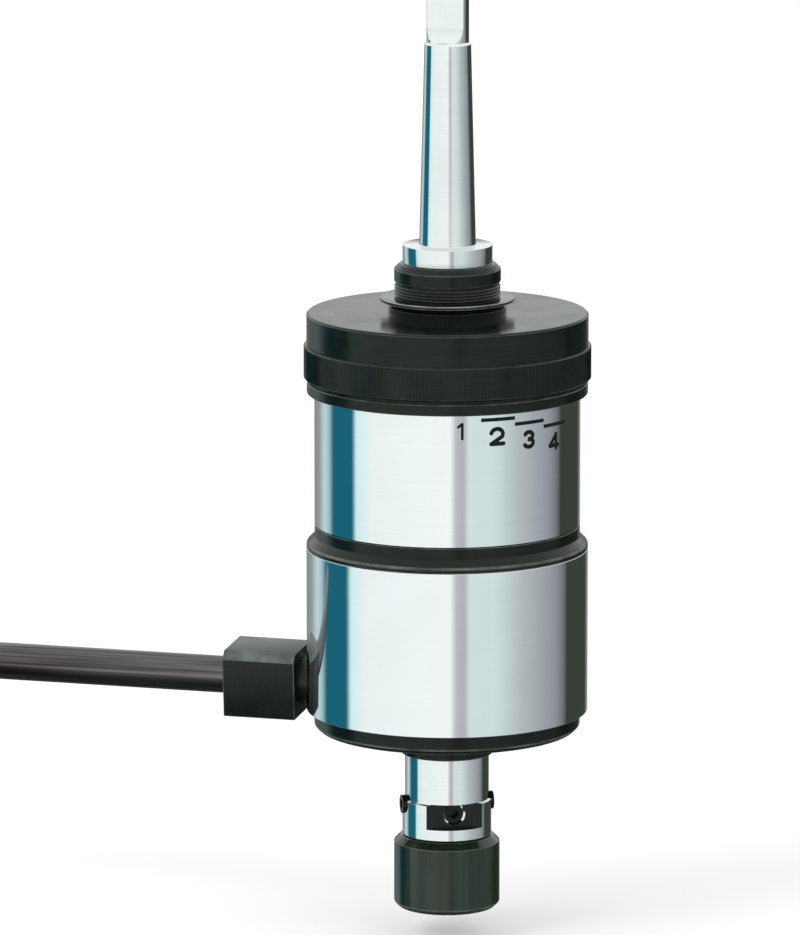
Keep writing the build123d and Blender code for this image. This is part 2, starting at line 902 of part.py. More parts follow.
def bottom_cover():
    """Screwed cover that clamps the carrier and holds the bottom bearing and seal."""
    bore = spindle_r + boss_bore_gap
    relief_r = bearing_out_r - race_wall
    body = turned(
        (cover_chamber_r, z_carrier_bot),
        (cover_bore_r, z_carrier_bot),
        (cover_bore_r, z_sleeve_bot),
        (cover_r, z_sleeve_bot),
        (cover_r, z_cover_bot + cover_chamfer),
        (cover_r - cover_chamfer, z_cover_bot),
        (boss_r, z_cover_bot),
        (boss_r, z_boss_bot + edge_break),
        (boss_r - edge_break, z_boss_bot),
        (bore, z_boss_bot),
        (bore, z_seal_bot),
        (seal_r, z_seal_bot),
        (seal_r, z_bearing_bot - cover_step_t),
        (relief_r, z_bearing_bot - cover_step_t),
        (relief_r, z_bearing_bot),
        (bearing_out_r, z_bearing_bot),
        (bearing_out_r, z_bearing_top),
        (cover_chamber_r, z_bearing_top),
    )
    for angle in around(2, spanner_angle):
        place = Rot(0, 0, angle) * Pos(spanner_circle_r, 0, 0)
        body -= place * disc(spanner_hole_r, z_cover_bot, z_cover_bot + spanner_hole_depth)
    start = cover_bore_r - arm_bolt_reach
    return body - rod_along(arm_bolt_r, start, cover_bore_r + overcut, z_arm, arm_angle)


def raceway(inner, outer):
    """Ring of the ball bearing with the groove that the balls run in."""
    groove = Torus(ball_circle_r, ball_r + ball_gap)
    return ring(inner, outer, z_bearing_bot, z_bearing_top) - Pos(0, 0, z_balls) * groove


def bottom_bearing_outer():
    return raceway(bearing_out_r - race_wall, bearing_out_r)


def bottom_bearing_inner():
    return raceway(bearing_in_r, bearing_in_r + race_wall)


def bottom_bearing_balls():
    ball = Pos(ball_circle_r, 0, z_balls) * Sphere(ball_r)
    return group([Rot(0, 0, angle) * ball for angle in around(ball_count)])


def wiper_seal():
    return ring(spindle_r + boss_bore_gap, seal_r, z_seal_bot, z_seal_top)


# Guide that turns in the bottom bearing and lets the tap spindle slide

def guide_bush():
    body = turned(
        (spindle_r + run_gap, z_guide_bot),
        (bearing_in_r, z_guide_bot),
        (bearing_in_r, z_bearing_top),
        (guide_flange_r, z_bearing_top),
        (guide_flange_r, z_guide_top),
        (spindle_r + run_gap, z_guide_top),
    )
    reach = spindle_r + guide_key_out + key_gap
    low = z_guide_bot - overcut
    return body - slab(0, reach, guide_key_w + 2 * key_gap, low, z_guide_top + overcut, 0)


def guide_key():
    middle = (z_guide_top + z_guide_bot) / 2
    out = spindle_r + guide_key_out
    low = middle - guide_key_len / 2
    return slab(out - guide_key_h, out, guide_key_w, low, low + guide_key_len, 0)


# Tap spindle

def collet_radius(height):
    """Radius of the spindle's collet seat at a height."""
    return collet_mouth_r - (height - z_nose_bot) * tan(radians(collet_angle))


def screw_height(index):
    """Height of a square screw: the pair beside the flats sits a little higher than the pair in them."""
    return z_screws + (index % 2) * screw_stagger


def tap_spindle():
    z_seat_top = z_collet_top + collet_seat_relief
    groove_r = shaft_r - spring_ring_depth
    z_ring_top = z_spring_ring_top
    z_ring_low = z_lower_disc_top
    body = turned(
        (0, z_stem_top),
        (stem_r - edge_break, z_stem_top),
        (stem_r, z_stem_top - edge_break),
        (stem_r, z_cone_top),
        (cone_seat_r, z_cone_top),
        (cone_seat_r, z_reverse_bot),
        (shaft_r, z_reverse_bot),
        (shaft_r, z_ring_top),
        (groove_r, z_ring_top),
        (groove_r, z_ring_low),
        (shaft_r, z_ring_low),
        (shaft_r, z_guided_top),
        (spindle_r, z_guided_top),
        (spindle_r, z_spindle_bot),
        (head_r, z_spindle_bot - head_run),
        (head_r, z_head_bot + head_chamfer),
        (head_r - head_chamfer, z_head_bot),
        (nose_r, z_head_bot),
        (nose_r, z_nose_bot + edge_break),
        (nose_r - edge_break, z_nose_bot),
        (collet_radius(z_nose_bot), z_nose_bot),
        (collet_radius(z_seat_top), z_seat_top),
        (bore_r, z_seat_top),
        (bore_r, z_bore_top),
        (0, z_bore_top + bore_r * tan(radians(drill_angle))),
    )
    for side in (0, 180):
        body -= slab(
            flat_across / 2, head_r + overcut, 2 * head_r, z_flat_bot, z_spindle_bot, flat_angle + side
        )
    for index, angle in enumerate(around(screw_count, flat_angle)):
        body -= rod_along(screw_r, 0, head_r + overcut, screw_height(index), angle)
        if index % 2 == 0:
            face = Plane.XY.rotated((0, 0, angle)) * Pos(flat_across / 2, 0, z_screws) * Rot(0, 90, 0)
            body -= face * Cone(
                screw_r, screw_r + screw_countersink, screw_countersink,
                align=(Align.CENTER, Align.CENTER, Align.MAX),
            )
    middle = (z_guide_top + z_guide_bot) / 2
    out = spindle_r + guide_key_out
    body -= slab(
        out - guide_key_h, out, guide_key_w,
        middle - guide_key_len / 2, middle + guide_key_len / 2, 0,
    )
    return body


def clutch_cone():
    land_r = forward_r + forward_len * cone_slope
    return turned(
        (cone_seat_r, z_cone_top),
        (forward_r, z_cone_top),
        (land_r, z_forward_bot),
        (land_r, z_forward_bot - forward_land),
        (reverse_r, z_reverse_top),
        (reverse_r - reverse_len * cone_slope, z_reverse_bot),
        (cone_seat_r, z_reverse_bot),
    )


def upper_float_springs():
    inner = cone_seat_r + float_disc_gap
    return disc_stack(float_disc_count, inner, float_disc_r, float_disc_t, float_disc_h, z_cone_top)


def lower_float_springs():
    inner = shaft_r + lower_disc_gap
    return disc_stack(lower_disc_count, inner, lower_disc_r, float_disc_t, lower_disc_h, z_guide_top)


def spring_ring():
    return ring(shaft_r - spring_ring_depth, spring_ring_r, z_lower_disc_top, z_spring_ring_top)


def square_screw(index):
    """Socket set screw that clamps the square of the tap."""
    angle = around(screw_count, flat_angle)[index]
    height = screw_height(index)
    if index % 2 == 0:
        out = flat_across / 2 - screw_recess
    else:
        out = head_r + screw_stand
    body = rod_along(screw_r - thread_gap / 2, screw_tip_r, out, height, angle)
    socket = RegularPolygon(socket_across / 2, 6, major_radius=False)
    place = Plane.XY.rotated((0, 0, angle)) * Pos(out, 0, height) * Rot(0, 90, 0)
    return body - place * Pos(0, 0, -socket_depth) * extrude(socket, socket_depth)


def tap_collet():
    slope = tan(radians(collet_front_angle))
    front_r = collet_radius(z_nose_bot) - collet_gap
    body = turned(
        (collet_bore_r, z_collet_top),
        (collet_radius(z_collet_top) - collet_gap, z_collet_top),
        (front_r, z_nose_bot),
        (front_r, z_collet_front),
        (front_r - collet_front_h * slope, z_collet_cone_bot),
        (front_r - collet_front_h * slope, z_collet_bot),
        (collet_bore_r, z_collet_bot),
    )
    for index, angle in enumerate(around(collet_slots)):
        low = z_collet_bot - overcut if index % 2 == 0 else z_collet_bot + collet_slot_end
        high = z_collet_top - collet_slot_end if index % 2 == 0 else z_collet_top + overcut
        body -= slab(0, collet_mouth_r + overcut, collet_slot_w, low, high, angle)
    return body


def collet_nut():
    slope = tan(radians(collet_front_angle))
    front_r = collet_radius(z_nose_bot) + collet_gap
    cone_end_r = front_r - collet_front_h * slope
    body = turned(
        (nose_r + thread_gap, z_nut_top),
        (nut_r - nut_top_chamfer, z_nut_top),
        (nut_r, z_nut_top - nut_top_chamfer),
        (nut_r, z_nut_bot + nut_low_chamfer),
        (nut_r - nut_low_chamfer, z_nut_bot),
        (cone_end_r, z_nut_bot),
        (cone_end_r, z_collet_cone_bot - face_gap),
        (front_r, z_collet_front - face_gap),
        (front_r, z_nose_bot - thrust_gap),
        (nose_r + thread_gap, z_nose_bot - thrust_gap),
    )
    return body


# Torque arm

def arm_block():
    body = Box(block_len, block_w, block_h, align=(Align.MIN, Align.CENTER, Align.CENTER))
    top_edges = body.edges().filter_by(Axis.X).group_by(Axis.Z)[-1]
    body = chamfer(top_edges, block_bevel)
    body = Rot(0, 0, arm_angle) * Pos(block_start, 0, z_arm) * Rot(-block_roll, 0, 0) * body
    body += rod_along(root_r, housing_r - overcut, block_start + overcut, z_arm, arm_angle)
    body -= disc(housing_r, z_arm - block_h, z_arm + block_h)
    body -= rod_along(rod_thread_r, bolt_seat, block_end, z_arm, arm_angle)
    body -= rod_along(arm_bolt_r + hole_gap, housing_r - overcut, bolt_seat, z_arm, arm_angle)
    return body


def arm_bolt():
    start = cover_bore_r - arm_bolt_reach + arm_bolt_spare
    body = rod_along(arm_bolt_r, start, bolt_seat, z_arm, arm_angle)
    body += rod_along(arm_bolt_head_r, bolt_seat, bolt_seat + arm_bolt_head_h, z_arm, arm_angle)
    socket = RegularPolygon(arm_bolt_socket / 2, 6, major_radius=False)
    place = Plane.XY.rotated((0, 0, arm_angle)) * Pos(bolt_seat + arm_bolt_head_h, 0, z_arm) * Rot(0, 90, 0)
    return body - place * Pos(0, 0, -arm_bolt_socket_depth) * extrude(socket, arm_bolt_socket_depth)


def torque_rod():
    start = block_end - rod_in_block
    end = block_end + rod_free
    with BuildPart() as made:
        with BuildSketch(Plane.XZ):
            with BuildLine():
                Polyline(
                    (start, 0),
                    (start, rod_thread_r - rod_chamfer),
                    (start + rod_chamfer, rod_thread_r),
                    (block_end, rod_thread_r),
                    (block_end, rod_r),
                    (end - rod_chamfer, rod_r),
                    (end, rod_r - rod_chamfer),
                    (end, 0),
                    close=True,
                )
            make_face()
        revolve(axis=Axis.X)
    return Rot(0, 0, arm_angle) * Pos(0, 0, z_arm) * made.part


def all_nodes():
    """Every node of the head by name."""
    nodes = {
        "taper_arbor": taper_arbor(),
        "drive_pin": drive_pin(),
        "neck_ring": neck_ring(),
        "neck_circlip": neck_circlip(),
        "drive_spindle": drive_spindle(),
        "clutch_linings": clutch_linings(),
        "adjusting_cap": adjusting_cap(),
        "grip_ring": grip_ring(),
        "index_rim": index_rim(),
        "spring_cup": spring_cup(),
        "clutch_springs": disc_stack(disc_count, disc_in_r, disc_out_r, disc_t, disc_h, z_plate_top),
        "pressure_plate": pressure_plate(),
        "clutch_barrel": clutch_barrel(),
        "pilot_bush": pilot_bush(),
        "stem_bush": stem_bush(),
        "ring_gear": ring_gear(),
        "ring_gear_screws": ring_gear_screws(),
        "main_bearing_inner": main_bearing_inner(),
        "main_bearing_outer": main_bearing_outer(),
        "main_bearing_rollers": main_bearing_rollers(),
        "bearing_circlip": bearing_circlip(),
        "gear_housing": gear_housing(),
        "outer_sleeve": outer_sleeve(),
        "planet_carrier": planet_carrier(),
        "carrier_bush": carrier_bush(),
        "planet_pins": planet_pins(),
        "reverse_gear": reverse_gear(),
        "bottom_cover": bottom_cover(),
        "bottom_bearing_outer": bottom_bearing_outer(),
        "bottom_bearing_inner": bottom_bearing_inner(),
        "bottom_bearing_balls": bottom_bearing_balls(),
        "wiper_seal": wiper_seal(),
        "guide_bush": guide_bush(),
        "guide_key": guide_key(),
        "tap_spindle": tap_spindle(),
        "clutch_cone": clutch_cone(),
        "upper_float_springs": upper_float_springs(),
        "lower_float_springs": lower_float_springs(),
        "spring_ring": spring_ring(),
        "tap_collet": tap_collet(),
        "collet_nut": collet_nut(),
        "arm_block": arm_block(),
        "arm_bolt": arm_bolt(),
        "torque_rod": torque_rod(),
    }
    for index, angle in enumerate(around(planet_count)):
        nodes[f"planet_gear_{index + 1}"] = planet_gear(angle)
    for index in range(screw_count):
        nodes[f"square_screw_{index + 1}"] = square_screw(index)
    return nodes


os.makedirs("parts", exist_ok=True)
for node_name, node_shape in all_nodes().items():
    write(node_name, node_shape)
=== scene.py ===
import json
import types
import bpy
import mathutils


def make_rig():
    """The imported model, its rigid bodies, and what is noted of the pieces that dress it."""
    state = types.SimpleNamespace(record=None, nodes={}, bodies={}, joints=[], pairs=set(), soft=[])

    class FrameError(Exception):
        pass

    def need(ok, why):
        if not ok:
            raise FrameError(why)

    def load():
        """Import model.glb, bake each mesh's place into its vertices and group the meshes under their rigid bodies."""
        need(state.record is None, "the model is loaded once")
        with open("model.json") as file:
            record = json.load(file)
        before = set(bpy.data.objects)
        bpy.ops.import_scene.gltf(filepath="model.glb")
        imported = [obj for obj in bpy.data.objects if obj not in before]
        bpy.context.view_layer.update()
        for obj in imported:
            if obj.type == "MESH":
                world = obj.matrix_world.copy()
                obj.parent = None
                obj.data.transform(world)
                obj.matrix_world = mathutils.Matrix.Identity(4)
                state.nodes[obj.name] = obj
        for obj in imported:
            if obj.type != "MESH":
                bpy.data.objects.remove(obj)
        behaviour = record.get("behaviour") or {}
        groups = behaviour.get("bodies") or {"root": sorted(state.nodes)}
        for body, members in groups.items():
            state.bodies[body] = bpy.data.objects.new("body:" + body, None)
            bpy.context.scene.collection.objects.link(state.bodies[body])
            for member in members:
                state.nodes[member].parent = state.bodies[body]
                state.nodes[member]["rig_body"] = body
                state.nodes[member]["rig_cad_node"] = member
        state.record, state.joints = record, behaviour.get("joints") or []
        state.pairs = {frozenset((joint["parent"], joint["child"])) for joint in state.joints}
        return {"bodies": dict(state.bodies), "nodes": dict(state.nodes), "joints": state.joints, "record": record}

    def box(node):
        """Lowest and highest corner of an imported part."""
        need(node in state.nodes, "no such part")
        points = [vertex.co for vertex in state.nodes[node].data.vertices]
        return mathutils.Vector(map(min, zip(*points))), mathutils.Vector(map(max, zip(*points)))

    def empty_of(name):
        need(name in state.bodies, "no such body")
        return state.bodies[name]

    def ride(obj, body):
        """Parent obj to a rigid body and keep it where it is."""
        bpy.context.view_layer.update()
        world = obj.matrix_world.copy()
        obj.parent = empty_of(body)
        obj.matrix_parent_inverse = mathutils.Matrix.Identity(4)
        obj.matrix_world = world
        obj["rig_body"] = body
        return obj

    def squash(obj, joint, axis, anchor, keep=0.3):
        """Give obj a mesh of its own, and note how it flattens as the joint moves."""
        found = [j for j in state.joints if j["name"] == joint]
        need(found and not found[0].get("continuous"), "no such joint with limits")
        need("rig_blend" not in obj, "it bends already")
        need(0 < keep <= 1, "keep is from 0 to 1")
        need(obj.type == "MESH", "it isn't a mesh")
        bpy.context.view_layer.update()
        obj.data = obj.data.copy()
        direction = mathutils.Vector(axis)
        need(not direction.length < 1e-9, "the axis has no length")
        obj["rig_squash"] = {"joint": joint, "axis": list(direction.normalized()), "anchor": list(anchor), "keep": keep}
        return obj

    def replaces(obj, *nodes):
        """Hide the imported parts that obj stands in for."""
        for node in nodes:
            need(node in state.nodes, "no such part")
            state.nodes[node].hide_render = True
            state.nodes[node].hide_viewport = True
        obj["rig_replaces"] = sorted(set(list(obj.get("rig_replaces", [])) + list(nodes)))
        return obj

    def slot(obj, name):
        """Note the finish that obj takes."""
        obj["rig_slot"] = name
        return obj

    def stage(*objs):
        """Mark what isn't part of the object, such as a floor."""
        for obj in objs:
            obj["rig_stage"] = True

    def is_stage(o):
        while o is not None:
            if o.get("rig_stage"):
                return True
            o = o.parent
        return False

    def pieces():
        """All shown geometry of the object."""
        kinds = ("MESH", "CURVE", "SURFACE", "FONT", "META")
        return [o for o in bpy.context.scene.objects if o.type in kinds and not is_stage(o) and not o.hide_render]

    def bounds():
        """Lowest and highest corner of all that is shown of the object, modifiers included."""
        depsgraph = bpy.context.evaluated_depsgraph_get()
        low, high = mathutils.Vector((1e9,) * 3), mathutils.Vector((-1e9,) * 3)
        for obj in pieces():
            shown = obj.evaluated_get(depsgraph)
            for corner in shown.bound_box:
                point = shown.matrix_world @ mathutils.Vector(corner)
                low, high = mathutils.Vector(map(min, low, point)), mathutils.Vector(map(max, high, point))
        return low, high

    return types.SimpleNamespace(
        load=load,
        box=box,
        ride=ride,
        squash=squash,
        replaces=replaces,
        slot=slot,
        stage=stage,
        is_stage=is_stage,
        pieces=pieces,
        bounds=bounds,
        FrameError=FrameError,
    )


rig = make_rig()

bl_info = {
    "name": "Tapping Head",
    "version": (1, 0, 0),
    "blender": (4, 5, 0),
    "location": "View3D > Sidebar > Tapping Head",
    "description": "Dresses the packed tapping head with finished pieces, materials and a studio",
    "category": "Object",
}

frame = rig.load()

import json
from math import atan2, cos, hypot, pi, radians, sin, sqrt, tan

import bmesh
import bpy
from bpy.props import FloatProperty, FloatVectorProperty, IntProperty, PointerProperty
from mathutils import Matrix, Vector

MM = 0.001
NODES = frame["nodes"]
SLOT_OF = {row["node"]: row["material_slot"] for row in frame["record"]["subparts"]}


def extent(name):
    """Outer radius, foot and top of a node that lies round the spindle axis."""
    low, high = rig.box(name)
    return high.x, low.z, high.z


def radius_of(name):
    return extent(name)[0]


def bottom_of(name):
    return extent(name)[1]


def top_of(name):
    return extent(name)[2]


# Settings that a user would change

def length(name, description, default):
    """Length setting in metres, its default given in millimetres."""
    return FloatProperty(
        name=name, description=description, default=default * MM, min=0.0, unit="LENGTH", precision=6
    )


def angle_setting(name, description, default):
    """Angle setting, its default given in degrees."""
    return FloatProperty(name=name, description=description, default=radians(default), subtype="ANGLE")


def colour(name, description, default):
    return FloatVectorProperty(
        name=name, description=description, default=default, size=3, min=0.0, max=1.0, subtype="COLOR"
    )


class HeadSizes(bpy.types.PropertyGroup):
    """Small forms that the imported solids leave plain."""

    turn_steps: IntProperty(name="Turn steps", description="Faces round a turned piece", default=192, min=48)
    edge_round: length("Edge rounding", "Radius that breaks the edges of black pieces", 0.35)
    fine_round: length("Fine rounding", "Radius that breaks the edges of ground pieces", 0.2)
    knurl_pitch: length("Knurl pitch", "Spacing of the straight knurl round the grip", 0.95)
    knurl_depth: length("Knurl depth", "Depth of the straight knurl", 0.16)
    thread_pitch: length("Thread pitch", "Spacing of the thread ridges on the neck", 1.0)
    thread_depth: length("Thread depth", "Depth of the thread on the neck", 0.4)
    figure_height: length("Figure height", "Height of the scale figures", 5.8)
    figure_stroke: length("Figure stroke", "Width of the engraved strokes", 1.32)
    first_stroke: length("First stroke", "Width of the first figure's stroke, which is worn thin", 0.85)
    figure_drop: length("Figure drop", "From the first setting line down to the foot of its figure", 8.3)
    line_height: length("Line height", "Height of the setting lines", 1.15)
    first_line: length("First line", "How far the first setting line lies above the rim's edge", 0.2)
    scale_step: length("Scale step", "Axial distance between two setting lines", 2.0)
    scale_start: angle_setting("Scale start", "Angle where the first setting line starts", -75.5)
    scale_sector: angle_setting("Scale sector", "Angle that each setting line covers", 15.6)
    ink_lift: length("Ink lift", "How far the scale's filling stands off the barrel", 0.03)
    block_roll: angle_setting("Block roll", "How far past level the arm's block is screwed home", 4.0)
    flat_angle: angle_setting("Flat angle", "Direction that one wrench flat of the spindle faces", -62.0)


class HeadFinishes(bpy.types.PropertyGroup):
    """Base colours of the finishes."""

    chrome: colour("Chrome", "Hard chrome on the barrel and sleeve", (0.80, 0.81, 0.82))
    ground: colour("Ground steel", "Collar, spindle and screw seats", (0.80, 0.81, 0.81))
    black: colour("Black oxide", "Cap, housing and block", (0.0035, 0.0065, 0.0040))
    black_worn: colour("Worn black", "Lighter patches of the black oxide", (0.009, 0.014, 0.010))
    nut_green: colour("Oiled black", "Collet nut", (0.004, 0.010, 0.004))
    # The lighter streaks down the nut are oil streaks and also painted reflection streaks
    nut_streak: colour("Oil streak", "Lighter streaks down the collet nut", (0.028, 0.046, 0.030))
    bar: colour("Blackened bar", "Torque rod", (0.045, 0.038, 0.040))
    bar_streak: colour("Bar streak", "Rubbed streaks along the torque rod", (0.21, 0.195, 0.19))
    ink: colour("Scale ink", "Filling of the figures and lines", (0.004, 0.006, 0.006))
    gear: colour("Gear steel", "Gears, carrier and collet", (0.50, 0.50, 0.51))
    bearing: colour("Bearing steel", "Rollers, balls and races", (0.68, 0.69, 0.70))
    spring: colour("Spring steel", "Disc springs and circlips", (0.20, 0.20, 0.21))
    bronze: colour("Bronze", "Plain bushes", (0.62, 0.45, 0.24))
    lining: colour("Lining", "Friction linings", (0.23, 0.17, 0.12))
    rubber: colour("Rubber", "Wiper seal", (0.030, 0.030, 0.030))


class StudioSettings(bpy.types.PropertyGroup):
    """Camera, floor and light."""

    azimuth: angle_setting("Azimuth", "Camera angle round the head", 16.0)
    pitch: angle_setting("Pitch", "Camera angle above level", 10.77)
    distance: length("Distance", "Camera to aim point", 2500.0)
    lens: FloatProperty(
        name="Lens", description="Focal length on a 36 mm sensor", default=301.6, unit="CAMERA"
    )
    aim_height: length("Aim height", "Aim point below the gauge line", 77.26)
    aim_side: length("Aim side", "How far the aim point lies to the camera's left", 15.1)
    floor: colour("Floor", "Pale studio floor", (0.93, 0.93, 0.93))
    floor_drop: length("Floor drop", "Room under the head for the spindle and the nut at their lowest", 9.5)


# Meshes

# Share of a profile's edge that one rounding may take, and the turn under which a corner counts as straight
EDGE_SHARE = 0.45
STRAIGHT_TURN = 0.001
# Corners of a mesh that turn more than this are shaded sharp
SHARP_ANGLE = radians(32.0)
# A face of a cut mesh is part of a round wall if its corners lie this equally far out and it faces this
# squarely away from the axis or towards it
WALL_SLACK = 0.05 * MM
WALL_FACING = 0.99
# Edges shorter than this are cleaned out of a cut mesh
SLIVER = 0.0005 * MM
# How far a cutting tool reaches past what it cuts
PAST = 1.0 * MM


def linked(name, data):
    """New object in the scene."""
    thing = bpy.data.objects.new(name, data)
    bpy.context.scene.collection.objects.link(thing)
    return thing


def mesh_of(made, name):
    """Mesh of a bmesh, which is freed."""
    mesh = bpy.data.meshes.new(name)
    made.to_mesh(mesh)
    made.free()
    return mesh


def finish_mesh(name, mesh, body, replaced=None, finish_name=None, slot=None):
    """Object from a finished mesh, riding on its body. It replaces a node, or else has a slot of its own."""
    piece = linked(name, mesh)
    if finish_name:
        mesh.materials.append(finish(finish_name))
    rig.ride(piece, body)
    if replaced:
        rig.replaces(piece, replaced)
    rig.slot(piece, slot or SLOT_OF[replaced])
    return piece


def corner_arc(before, corner, after, rounding, steps):
    """Points of an arc that rounds one corner of a profile.

    Each has its place, its outward direction and its edge mark, which is wear together with a painted glint and is 1 on
    an edge.
    """
    into = Vector(corner) - Vector(before)
    away = Vector(after) - Vector(corner)
    room = EDGE_SHARE * min(into.length, away.length)
    into.normalize()
    away.normalize()
    turn = atan2(into.x * away.y - into.y * away.x, into.dot(away))
    outward = Vector((into.y, -into.x))
    if abs(turn) < STRAIGHT_TURN:
        return [(*corner, *outward, 0.0)]
    reach = min(rounding * tan(abs(turn) / 2), room)
    radius = reach / tan(abs(turn) / 2) * (1 if turn > 0 else -1)
    centre = Vector(corner) - into * reach - outward * radius
    points = []
    for step in range(steps + 1):
        facing = Matrix.Rotation(turn * step / steps, 2) @ outward
        point = centre + facing * radius
        # Convex rounded corners take the edge mark: wear together with a painted glint along the edge
        wear = 1.0 if turn > 0 and 0 < step < steps else 0.0
        points.append((point.x, point.y, facing.x, facing.y, wear))
    return points


def eased(corners, rounding, steps=4):
    """Closed profile of (radius, height) corners, each rounded by the third value that it may have.

    It runs so that the outside is on its right.
    """
    area = sum(a[0] * b[1] - b[0] * a[1] for a, b in zip(corners, corners[1:] + corners[:1]))
    if area < 0:
        corners = corners[::-1]
    profile = []
    for index, (*corner, own) in enumerate((*corner, rounding)[:3] for corner in corners):
        before = corners[index - 1][:2]
        after = corners[(index + 1) % len(corners)][:2]
        if corner[0] > 0:
            profile += corner_arc(before, corner, after, own, steps)
        else:
            facing = 1.0 if after[0] == 0 else -1.0
            profile.append((*corner, 0.0, facing, 0.0))
    return profile


def ring(inner, outer, low, high):
    """Corners of a plain ring."""
    return [(inner, low), (outer, low), (outer, high), (inner, high)]


def smooth(mesh):
    """Shades a mesh smooth between its sharp corners, whatever directions it stored before."""
    stored = mesh.attributes.get("custom_normal")
    if stored:
        mesh.attributes.remove(stored)
    mesh.shade_smooth()
    mesh.set_sharp_from_angle(angle=SHARP_ANGLE)


def lathe(name, corners, rounding, steps, shape=None, opening=None):
    """Mesh of a turned piece. shape may move each point, and opening is a gap's start and end angle."""
    mesh = bpy.data.meshes.new(name)
    start, sweep = 0.0, 2 * pi
    if opening:
        start, sweep = opening[1], 2 * pi - (opening[1] - opening[0])
    cells = steps if not opening else steps - 1
    points, directions, wears_and_glints, rows = [], [], [], []
    for radius, height, out, up, wear in eased(corners, rounding):
        row = []
        for step in range(steps if radius > 0 else 1):
            angle = start + sweep * step / cells
            point = Vector((radius * cos(angle), radius * sin(angle), height))
            row.append(len(points))
            points.append(shape(point) if shape else point)
            directions.append((out * cos(angle), out * sin(angle), up))
            wears_and_glints.append(wear)
        rows.append(row if radius > 0 else row * steps)
    faces = []
    for low, high in zip(rows, rows[1:] + rows[:1]):
        for step in range(cells):
            following = (step + 1) % steps
            # Next to the axis, two corners of a face are the same point
            face = dict.fromkeys((low[step], low[following], high[following], high[step]))
            if len(face) > 2:
                faces.append(list(face))
    if opening:
        faces.append([row[0] for row in rows])
        faces.append([row[-1] for row in reversed(rows)])
    mesh.from_pydata(points, [], faces)
    mesh.attributes.new("wear", "FLOAT", "POINT").data.foreach_set("value", wears_and_glints)
    if shape or opening:
        smooth(mesh)
    else:
        mesh.shade_smooth()
        mesh.normals_split_custom_set_from_vertices(directions)
    return mesh


def turned(name, corners, rounding, body, replaced, finish_name, cutters=(), slot=None, steps=None, **ways):
    """Turned piece with its finish, and with some meshes cut away from it."""
    mesh = lathe(name, corners, rounding, steps or bpy.context.scene.head_sizes.turn_steps, **ways)
    if cutters:
        cut_piece(name, mesh, body, replaced, finish_name, cutters)
    else:
        finish_mesh(name, mesh, body, replaced, finish_name, slot)


def round_walls(mesh):
    """Shades the upright turned walls of a cut mesh as exactly round about the spindle axis."""
    facings = [corner.vector.copy() for corner in mesh.corner_normals]
    for face in mesh.polygons:
        lines = [Vector((*mesh.vertices[index].co.xy, 0.0)) for index in face.vertices]
        reaches = [line.length for line in lines]
        side = face.normal.dot(sum(lines, Vector()).normalized())
        if max(reaches) - min(reaches) < WALL_SLACK and abs(side) > WALL_FACING:
            for loop, line in zip(face.loop_indices, lines):
                facings[loop] = line.normalized() * (1 if side > 0 else -1)
    mesh.normals_split_custom_set(facings)


def combined(name, mesh, cutters, added=()):
    """Mesh with some meshes joined to it and others taken away."""
    body = linked(name + "_blank", mesh)
    tools = []
    for index, cutter in enumerate([*added, *cutters]):
        tools.append(linked(name + "_tool", cutter))
        modifier = body.modifiers.new("combine", "BOOLEAN")
        modifier.operation = "UNION" if index < len(added) else "DIFFERENCE"
        modifier.solver = "MANIFOLD"
        modifier.material_mode = "TRANSFER"
        modifier.object = tools[-1]
    bpy.context.view_layer.update()
    made = bpy.data.meshes.new_from_object(body.evaluated_get(bpy.context.evaluated_depsgraph_get()))
    for extra in [body] + tools:
        bpy.data.objects.remove(extra)
    clean = bmesh.new()
    clean.from_mesh(made)
    bmesh.ops.triangulate(clean, faces=clean.faces[:])
    bmesh.ops.dissolve_degenerate(clean, dist=SLIVER, edges=clean.edges[:])
    open_edges = sum(not edge.is_manifold for edge in clean.edges)
    clean.to_mesh(made)
    clean.free()
    if open_edges:
        raise RuntimeError(f"{name} has {open_edges} open edges")
    smooth(made)
    round_walls(made)
    return made


def cut_piece(name, mesh, body, replaced, finish_name, cutters, added=()):
    """Piece of combined meshes. Those that have no finish of their own get the piece's."""
    for part in (mesh, *cutters, *added):
        if len(part.materials) == 0:
            part.materials.append(finish(finish_name))
    finish_mesh(name, combined(name, mesh, cutters, added), body, replaced)


def joined(name, parts):
    """One mesh of several closed ones that stay apart."""
    made = bmesh.new()
    for part in parts:
        made.from_mesh(part)
    mesh = mesh_of(made, name)
    smooth(mesh)
    return mesh


def drum(radius, low, high, place, steps=72, flare=0.0, finish_name=None):
    """Closed round mesh along its own Z, put at a place. flare widens its high end."""
    made = bmesh.new()
    bmesh.ops.create_cone(
        made, cap_ends=True, segments=steps, radius1=radius, radius2=radius + flare, depth=high - low,
        matrix=place @ Matrix.Translation((0, 0, (low + high) / 2)),
    )
    mesh = mesh_of(made, "cutter")
    if finish_name:
        mesh.materials.append(finish(finish_name))
    return mesh


def outward_place(angle, height):
    """Frame whose Z points away from the spindle axis at an angle and height."""
    turn = Matrix.Rotation(angle, 4, "Z") @ Matrix.Rotation(pi / 2, 4, "Y")
    return Matrix.Translation((0, 0, height)) @ turn


# Materials

WHITE = (1.0, 1.0, 1.0, 1.0)
# Values of a noise between which a finish goes from its dark to its light tone, and from glossy to dull
TONE_RANGE = (0.15, 0.38)
PATCH_RANGE = (0.3, 0.7)
# Noise that breaks up the edge mark, which is wear together with a painted glint along an edge, and the least share of
# the mark that it leaves
EDGE_BREAK_SCALE = 130.0
EDGE_BREAK_RANGE = (0.35, 0.65)
LEAST_EDGE_BREAK = 0.35


def node(tree, kind, inputs=None, **settings):
    """Adds a shader node, its inputs given as values or sockets."""
    made = tree.nodes.new("ShaderNode" + kind)
    for key, value in settings.items():
        setattr(made, key, value)
    for key, value in (inputs or {}).items():
        if isinstance(value, bpy.types.NodeSocket):
            tree.links.new(value, made.inputs[key])
        else:
            made.inputs[key].default_value = value
    return made


